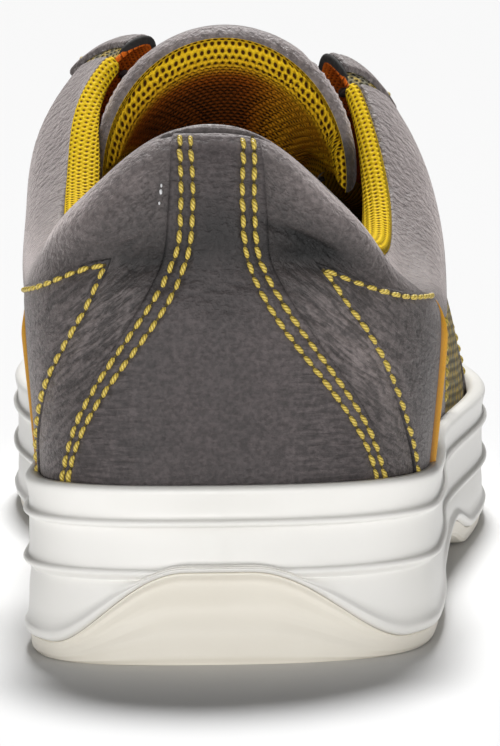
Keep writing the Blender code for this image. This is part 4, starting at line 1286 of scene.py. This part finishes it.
# Wall loops from the floor up: the inset eases from knot to knot and grows under the wave
def treadLoops(degrees):
    under = treadBottom(stationAt(degrees))
    top = treadTop(degrees)
    back = waveShare(degrees)
    run = edgeRun(degrees)
    knots = treadWall["height"]
    edgeInset = [inset + scoop * back for inset, scoop in zip(treadWall["inset"], treadWall["scoop"])]
    loops = []
    for share in np.linspace(0, 1, treadWall["rows"]):
        k = min(int(np.searchsorted(knots, share, side="right")) - 1, len(knots) - 2)
        mix = smoothStep(knots[k], knots[k + 1], share)
        inset = edgeInset[k] * (1 - mix) + edgeInset[k + 1] * mix
        streak = treadWall["streak"] * np.sin(2 * math.pi * (share * 4.2 + run / 60)) ** 3
        streak = streak * back * smoothStep(8, 20, run) * math.sin(math.pi * share)
        loops.append(ringAt(degrees, inset + streak, under + (top - under) * share))
    loops.append(ringAt(degrees, 1.6, top + 0.12))
    loops.append(ringAt(degrees, sole["plateInset"], sole["plate"] + treadRise(degrees)))
    return np.array(loops)


# The bed spans the lowest loop from side to side, with triangles at its two tips
def makeOutsole():
    wall = treadLoops(evenAngles(sole["around"]))
    rows, columns = wall.shape[:2]
    half = columns // 2
    right = wall[0, 1:half][:, None]
    left = wall[0, :half:-1][:, None]
    count = treadCut["columns"]
    bed = right + (left - right) * np.linspace(0, 1, count)[None, :, None]
    middle = (right[..., 0] + left[..., 0]) / 2
    reach = np.maximum(np.abs(right[..., 0] - left[..., 0]) / 2 - treadCut["margin"] + 2.8, 1.0)
    cut = grooveDepth(bed[..., 0], bed[..., 1], middle, reach) * smoothStep(5, 10, bed[..., 1])
    bed[..., 2] = treadBottom(bed[..., 1]) + cut
    bed[:, 0] = right[:, 0]
    bed[:, -1] = left[:, 0]
    first = rows * columns
    quads = np.concatenate([gridQuads(rows, columns, False, True), capQuads((rows - 1) * columns, columns),
                            gridQuads(half - 1, count) + first])
    heel = first + np.arange(count - 1)
    toe = heel + (half - 2) * count
    triangles = np.concatenate([np.stack([0 * heel, heel, heel + 1], -1),
                                np.stack([0 * toe + half, toe + 1, toe], -1)]).tolist()
    points = np.concatenate([wall.reshape(-1, 3), bed.reshape(-1, 3)])
    piece = makePiece("outsoleTread", points, quads, ["treadRubber"], triangles=triangles,
                      merge=0.002)
    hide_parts("outsole")


# Insole: loops from the middle out to the upper's inner face, dished toward the heel
insole = {"thick": 4.5, "around": 200, "rings": 26, "dish": 0.9}


def makeInsole():
    degrees = evenAngles(insole["around"])
    y = stationAt(degrees)
    level = along(levels, "ledge", y) + shoe["gap"]
    inner = shoe["wall"] + 2 * shoe["gap"]
    inset = shoe["footInset"] + inner
    loops = [ringAt(degrees, inset + 1.2, level)]
    loops += [skinAtHeight(degrees, level + up, -inner) for up in (0.8, insole["thick"] - 1.0)]
    top = ringAt(degrees, inset + 1.8, level + insole["thick"])
    axis = np.stack([along(plan, "centre", y), np.clip(y, 45, 240), level], -1)
    for share in np.linspace(0, 0.995, insole["rings"]):
        loop = top * (1 - share) + axis * share
        loop[:, 2] = level + insole["thick"] - insole["dish"] * smoothStep(0, 0.5, share)
        loops.append(loop)
    points = np.array(loops)
    piece = makePiece("insoleBoard", points, tubeQuads(*points.shape[:2]), ["shadedFootbedFelt"])
    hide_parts("insole")


makeMidsole()
makeOutsole()
makeInsole()
print("sole done")

# Stitches: short arched threads at a pitch along a seam, with a dark disc at both ends as painted shade of
# the needle hole
stitch = {"pitch": 2.9, "length": 2.7, "thick": 0.95, "rise": 0.28, "slant": 5.0, "hole": 0.3}
rng = np.random.default_rng(7)


# Even places along a seam on the skin: point, direction along, direction across and normal
def seamPlaces(degrees, share, lift):
    path = skinAt(degrees, share, lift)
    normal = skinLook("normal", degrees, share)
    run = runAlong(path)
    count = max(int(run[-1] / stitch["pitch"]), 1)
    at = (np.arange(count) + 0.5) * run[-1] / count

    def pick(grid, place):
        return np.stack([np.interp(place, run, grid[:, axis]) for axis in range(3)], -1)

    tangent = unit(pick(path, at + 0.3) - pick(path, at - 0.3))
    side = unit(np.cross(pick(normal, at), tangent))
    return pick(path, at), tangent, side, np.cross(tangent, side)


# One thread: a capsule whose middle line is a parabola, its ends sunk into the leather
def threadForm(sections=7, around=8):
    x = np.linspace(-1, 1, sections)[:, None]
    turn = circle(around)[None]
    radius = stitch["thick"] / 2 * np.sqrt(np.clip(1 - np.abs(x) ** 3, 0.02, 1))
    height = stitch["rise"] * (1 - 1.9 * x ** 2)
    length = x * stitch["length"] / 2
    local = np.stack(np.broadcast_arrays(length, radius * np.cos(turn), radius * np.sin(turn) + height), -1)
    uv = gridUv(turn / (2 * math.pi), length)
    return local.reshape(-1, 3), uv.reshape(-1, 2), tubeQuads(sections, around)


# Threads on their places, each a little turned and sized by chance, and a flat dark disc between them as
# painted shade of the needle holes
def makeStitches(name, seams):
    places = zip(*[seamPlaces(*seam) for seam in seams])
    point, tangent, side, up = (np.concatenate(group) for group in places)
    local, uv, quads = threadForm()
    count = len(point)
    slant = np.radians(stitch["slant"] + rng.normal(0, 3, count))[:, None]
    ahead = tangent * np.cos(slant) + side * np.sin(slant)
    beside = side * np.cos(slant) - tangent * np.sin(slant)
    size = 1 + rng.normal(0, 0.05, count)[:, None, None]
    x, y, z = (local[None, :, axis:axis + 1] for axis in range(3))
    points = point[:, None] + size * (ahead[:, None] * x + beside[:, None] * y + up[:, None] * z)
    makePiece(name, points, repeatQuads(quads, len(local), count), ["yellowThread"],
              np.tile(uv, (count, 1)), turnOut=False)
    step = stitch["pitch"] / 2
    centre = np.concatenate([point - tangent * step, point[-1:] + tangent[-1:] * step])
    tangent, side, up = (np.concatenate([v, v[-1:]]) for v in (tangent, side, up))
    around = 8
    flat = ringsRound(centre, tangent * stitch["hole"] * 1.25, side * stitch["hole"], around)
    discs = np.concatenate([flat + up[:, None] * 0.05, flat - up[:, None] * 0.3], axis=1)
    k = np.arange(around)
    after = (k + 1) % around
    wall = np.stack([after, after + around, k + around, k], -1)
    disc = np.concatenate([capQuads(0, around), capQuads(around, around)[:, ::-1], wall])
    quads = repeatQuads(disc, 2 * around, len(centre))
    makePiece(name + "Holes", discs, quads, ["needleHoleShade"], turnOut=False)


# One seam of the bell on one side, from the sole to the collar
def bellRow(name, sign):
    share = np.linspace(0.06, 0.945, 300)
    degrees = sign * bellAngle(name, share)
    return degrees, share, bellLift(degrees, share) - 0.2


makeStitches("heelStitches", [bellRow(name, sign) for name in ("inner", "outer") for sign in (-1, 1)])


# The side panel's seam runs up its rear edge and along its top
def panelRow(seam):
    low = np.linspace(0.06, seam["rearShare"][-1], 200)
    rear = splineThrough(seam["rearShare"], seam["rearAngle"], low)
    ahead = np.linspace(seam["topAngle"][0], seam["front"][1] - 1.0, 200)
    top = splineThrough(seam["topAngle"], seam["topShare"], ahead)
    lift = sidePanel["sheet"]["thick"] - 0.18
    pairs = ((seam["sign"] * rear, low), (seam["sign"] * ahead, top))
    return [(degrees, share, lift + creaseField(degrees, share)) for degrees, share in pairs]


makeStitches("panelStitches", panelRow(sideSeams["outerSide"]) + panelRow(sideSeams["innerSide"]))


# Lint caught beside the left rows: three small pale tufts, each a lump with a wavy surface
lint = {"degrees": (-5.05, -5.0, -5.0), "share": (0.812, 0.797, 0.770), "half": (0.36, 0.5, 0.32)}


def makeLint(sections=7, around=12):
    turn = circle(around)[None]
    lean = np.linspace(-math.pi / 2, math.pi / 2, sections)[:, None]
    wavy = (1 + 0.25 * np.sin(3 * turn) * np.cos(lean)) * np.cos(lean)
    sizes = (0.55 * wavy * np.cos(turn), 0.5 * wavy * np.sin(turn), np.sin(lean))
    lump = np.stack(np.broadcast_arrays(*sizes), -1).reshape(-1, 3)
    place = skinAt(np.array(lint["degrees"]), np.array(lint["share"]), 0.3)
    points = place[:, None] + lump[None] * np.array(lint["half"])[:, None, None]
    quads = repeatQuads(tubeQuads(sections, around), sections * around, len(place))
    makePiece("heelLint", points, quads, ["paleLint"], merge=0.0005)


makeLint()


# Seams of eyestay, toe cap and straps run at a hem from their edges
def frontRows():
    rows = []
    for start, table, hem, lift in ((84.0, eyestayFoot, 2.0, 0.0), (114.5, toeCapTop, -2.0, 0.06),
                                    (114.5, toeCapTop, -4.6, 0.06)):
        turned = np.linspace(start, 360 - start, 500)
        rows.append((turned, edgeShare(table, folded(turned)) + hem / ribLength(turned), lift))
    share = np.linspace(0.12, 0.74, 200)
    half = strapHalf(strapUp(share)) - 0.75
    for sign in (-1, 1):
        for edge in (-1, 1):
            rows.append((sign * (strapMiddle(share) + edge * half), share, -0.02))
    return rows


makeStitches("frontStitches", frontRows())
print("stitches done")

# Lace: a bar, then crossings drawn tight over tongue and facings, each end down into its eyelet
lace = {"radius": 1.8, "lift": 1.25, "inset": 9.5, "around": 14, "points": 40, "dive": 3.0}
eyeletRows = (172.0, 160.5, 149.0, 137.5, 126.0)


# Angle where the rim lies at a distance from the heel
def throatAngle(y, side):
    turn = np.linspace(87, 150, 400) * side
    return np.interp(y, ribValue("rimY", turn), turn)


# Point and normal at an eyelet, inset from the rim along its rib
def eyeletPlace(row, side, inset, lift=0.0):
    degrees = throatAngle(eyeletRows[row], side)
    share = rimStop(degrees, inset)
    return skinAt(degrees, share, lift), skinLook("normal", degrees, share)


# Height of a tight cord over a profile: its upper convex hull
def tautHeight(distance, height):
    kept = []
    for i in range(len(distance)):
        while len(kept) > 1:
            a, b = kept[-2], kept[-1]
            span = (distance[i] - distance[a]) * (height[b] - height[a])
            if span > (distance[b] - distance[a]) * (height[i] - height[a]):
                break
            kept.pop()
        kept.append(i)
    return np.interp(distance, distance[kept], height[kept])


# Tree of a CAD node's faces, to find heights on it
def nodeTree(node):
    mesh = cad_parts[node].data
    points = np.zeros(len(mesh.vertices) * 3)
    mesh.vertices.foreach_get("co", points)
    return BVHTree.FromPolygons(points.reshape(-1, 3).tolist(), [tuple(p.vertices) for p in mesh.polygons])


# One lace: laid on the faces below it, drawn tight, smoothed, its ends sunk into their eyelets
def laceStrand(start, end, trees, dive):
    path = np.linspace(start, end, lace["points"])
    lift = lace["radius"] * lace["lift"] + shoe["gap"]
    for i in range(len(path)):
        above = Vector(((path[i] + centreShift) * mm)[:2].tolist() + [1.0])
        hits = [tree.ray_cast(above, Vector((0, 0, -1)))[0] for tree in trees]
        path[i, 2] = max(hit.z for hit in hits if hit is not None) / mm + lift
    distance = np.linalg.norm(path[:, :2] - path[0, :2], axis=1)
    path[:, 2] = tautHeight(distance, path[:, 2])
    share = np.linspace(0, 1, len(path))
    for _ in range(3):
        path[1:-1] = (path[:-2] + 2 * path[1:-1] + path[2:]) / 4
    for k, (place, normal) in dive.items():
        bury = smoothStep(0.86, 1.0, share if k else 1 - share)[:, None]
        path = path * (1 - bury) + (place - normal * lace["dive"] * bury) * bury
    return path


# Tube along a path: circles on its sideways and upward axes
def tubeAlong(path, radius, around):
    run = unit(np.gradient(path, axis=0))
    side = unit(np.cross(run, np.array([0, 0, 1.0])))
    points = ringsRound(path, radius * side, radius * np.cross(side, run), around)
    return points, gridUv(np.linspace(0, 1, around)[None], runAlong(path)[:, None])


# A bar at the front eyelets, then crossings; of each two the later one rises over the other in a bell curve
def makeLaces():
    trees = [nodeTree("upper"), nodeTree("tongue")]
    a, b = (eyeletPlace(0, side, lace["inset"]) for side in (-1, 1))
    strands = [laceStrand(a[0], b[0], trees, {0: a, 1: b})]
    for row in range(len(eyeletRows) - 1):
        for side in (-1, 1):
            start = eyeletPlace(row, side, 0.0)[0] + np.array([-side * 2.2, -3.0, 0])
            end = eyeletPlace(row + 1, -side, lace["inset"])
            path = laceStrand(start, end[0], trees, {1: end})
            if side > 0:
                path[:, 2] += 1.5 * lace["radius"] * bell(np.linspace(-1, 1, len(path)) + 0.05, 0.28)
            strands.append(path)
    tubes = [tubeAlong(path, lace["radius"] * 0.96, lace["around"]) for path in strands]
    points, uv = (np.stack(group) for group in zip(*tubes))
    count = lace["points"] * lace["around"]
    quads = repeatQuads(tubeQuads(lace["points"], lace["around"]), count, len(strands))
    piece = makePiece("laceStrands", points, quads, ["laceWeave"], uv, turnOut=False)
    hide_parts("lace_bar", *[f"lace_cross_{k}" for k in range(1, len(eyeletRows))])


# Eyelets: a pressed ring round each hole
eyelet = {"radius": 2.5, "tube": 0.55, "flat": 0.7, "around": 24, "section": 10}


def makeEyelets():
    turn = circle(eyelet["around"])[:, None]
    small = circle(eyelet["section"])
    reach = (eyelet["radius"] + eyelet["tube"] * np.cos(small))[None, :, None]
    rise = (eyelet["tube"] * eyelet["flat"] * np.sin(small))[None, :, None]
    rings = []
    for row in range(len(eyeletRows)):
        for side in (-1, 1):
            place, normal = eyeletPlace(row, side, lace["inset"], 0.2)
            a = unit(np.cross(normal, np.array([0, 1.0, 0])))
            radial = np.cos(turn) * a + np.sin(turn) * np.cross(normal, a)
            rings.append(place + radial[:, None] * reach + normal * rise)
    form = gridQuads(eyelet["around"], eyelet["section"], True, True)
    quads = repeatQuads(form, eyelet["around"] * eyelet["section"], len(rings))
    makePiece("eyeletRings", np.stack(rings), quads, ["eyeletBlack"], turnOut=False)


makeLaces()
makeEyelets()
print("lace done")

# Studio: pale floor up to the horizon, dim sky, a sun from the toe side, a low soft lamp behind the camera
studio = {"floor": (0.80, 0.80, 0.80), "sky": 0.09, "sun": 4.0, "sunTilt": 30.0, "sunAngle": 14.0,
          "front": 26.0}


# Matt floor
def floorMaterial(tree, look):
    return {"Base Color": colour(look["floor"]), "Roughness": 0.9, "Specular IOR Level": 0.1}


def addObject(name, data):
    holder = bpy.data.objects.new(name, data)
    bpy.context.collection.objects.link(holder)
    return holder


def makeFloor():
    mesh = bpy.data.meshes.new("floor")
    mesh.from_pydata([(-8, -4, 0), (8, -4, 0), (8, 24, 0), (-8, 24, 0)], [], [(0, 1, 2, 3)])
    mesh.materials.append(newMaterial("paleFloor", floorMaterial, studio))
    floor = addObject("floor", mesh)


# Place of a lamp or the camera, turned so that it looks along a direction
def aimObject(holder, place, aim):
    holder.location = place
    holder.rotation_euler = Vector(aim).to_track_quat("-Z", "Y").to_euler()


# Rectangular lamp at a place, aimed at a target
def addLamp(name, place, target, size, power):
    lamp = bpy.data.lights.new(name, "AREA")
    lamp.shape = "RECTANGLE"
    lamp.size, lamp.size_y = size
    lamp.energy = power
    aimObject(addObject(name, lamp), place, Vector(target) - Vector(place))


def makeStudio():
    world = bpy.data.worlds.new("studioSky")
    bpy.context.scene.world = world
    world.use_nodes = True
    sky = world.node_tree.nodes["Background"]
    sky.inputs["Color"].default_value = colour((1, 1, 1))
    sky.inputs["Strength"].default_value = studio["sky"]
    sun = bpy.data.lights.new("sun", "SUN")
    sun.energy = studio["sun"]
    sun.angle = math.radians(studio["sunAngle"])
    addObject("sun", sun).rotation_euler = (-math.radians(studio["sunTilt"]), 0, 0)
    addLamp("frontLamp", (0.0, -2.2, 0.16), (0.0, -0.1, 0.06), (1.2, 0.24), studio["front"])
    bpy.context.scene.view_settings.view_transform = "Standard"


# Camera at the photograph's place behind the heel: level distance, height, yaw and the pixel of the back seam
view = {"distance": 720.0, "height": 131.0, "yaw": 0.7, "seamPixel": 215.0, "floorPixel": 674.0,
        "pixelsPerMm": 5.56, "image": (500.0, 746.0), "sensor": 36.0}


def makeCamera():
    focal = view["pixelsPerMm"] * view["distance"]
    yaw = math.radians(view["yaw"])
    ahead = np.array([-math.sin(yaw), math.cos(yaw), 0])
    right = np.array([math.cos(yaw), math.sin(yaw), 0])
    place = np.array([shoe["seamX"], 0, view["height"]]) - ahead * view["distance"]
    horizon = view["floorPixel"] - view["pixelsPerMm"] * view["height"]
    sideways = (view["image"][0] / 2 - view["seamPixel"]) / focal
    down = (view["image"][1] / 2 - horizon) / focal
    aim = ahead + right * sideways - np.array([0, 0, 1.0]) * down
    camera = bpy.data.cameras.new("camera")
    camera.sensor_width = view["sensor"]
    camera.lens = focal * view["sensor"] / view["image"][1]
    camera.clip_end = 60.0
    holder = addObject("camera", camera)
    aimObject(holder, ((place + centreShift) * mm).tolist(), aim.tolist())
    bpy.context.scene.camera = holder


makeFloor()
makeStudio()
makeCamera()
print("studio done")

bpy.context.view_layer.update()
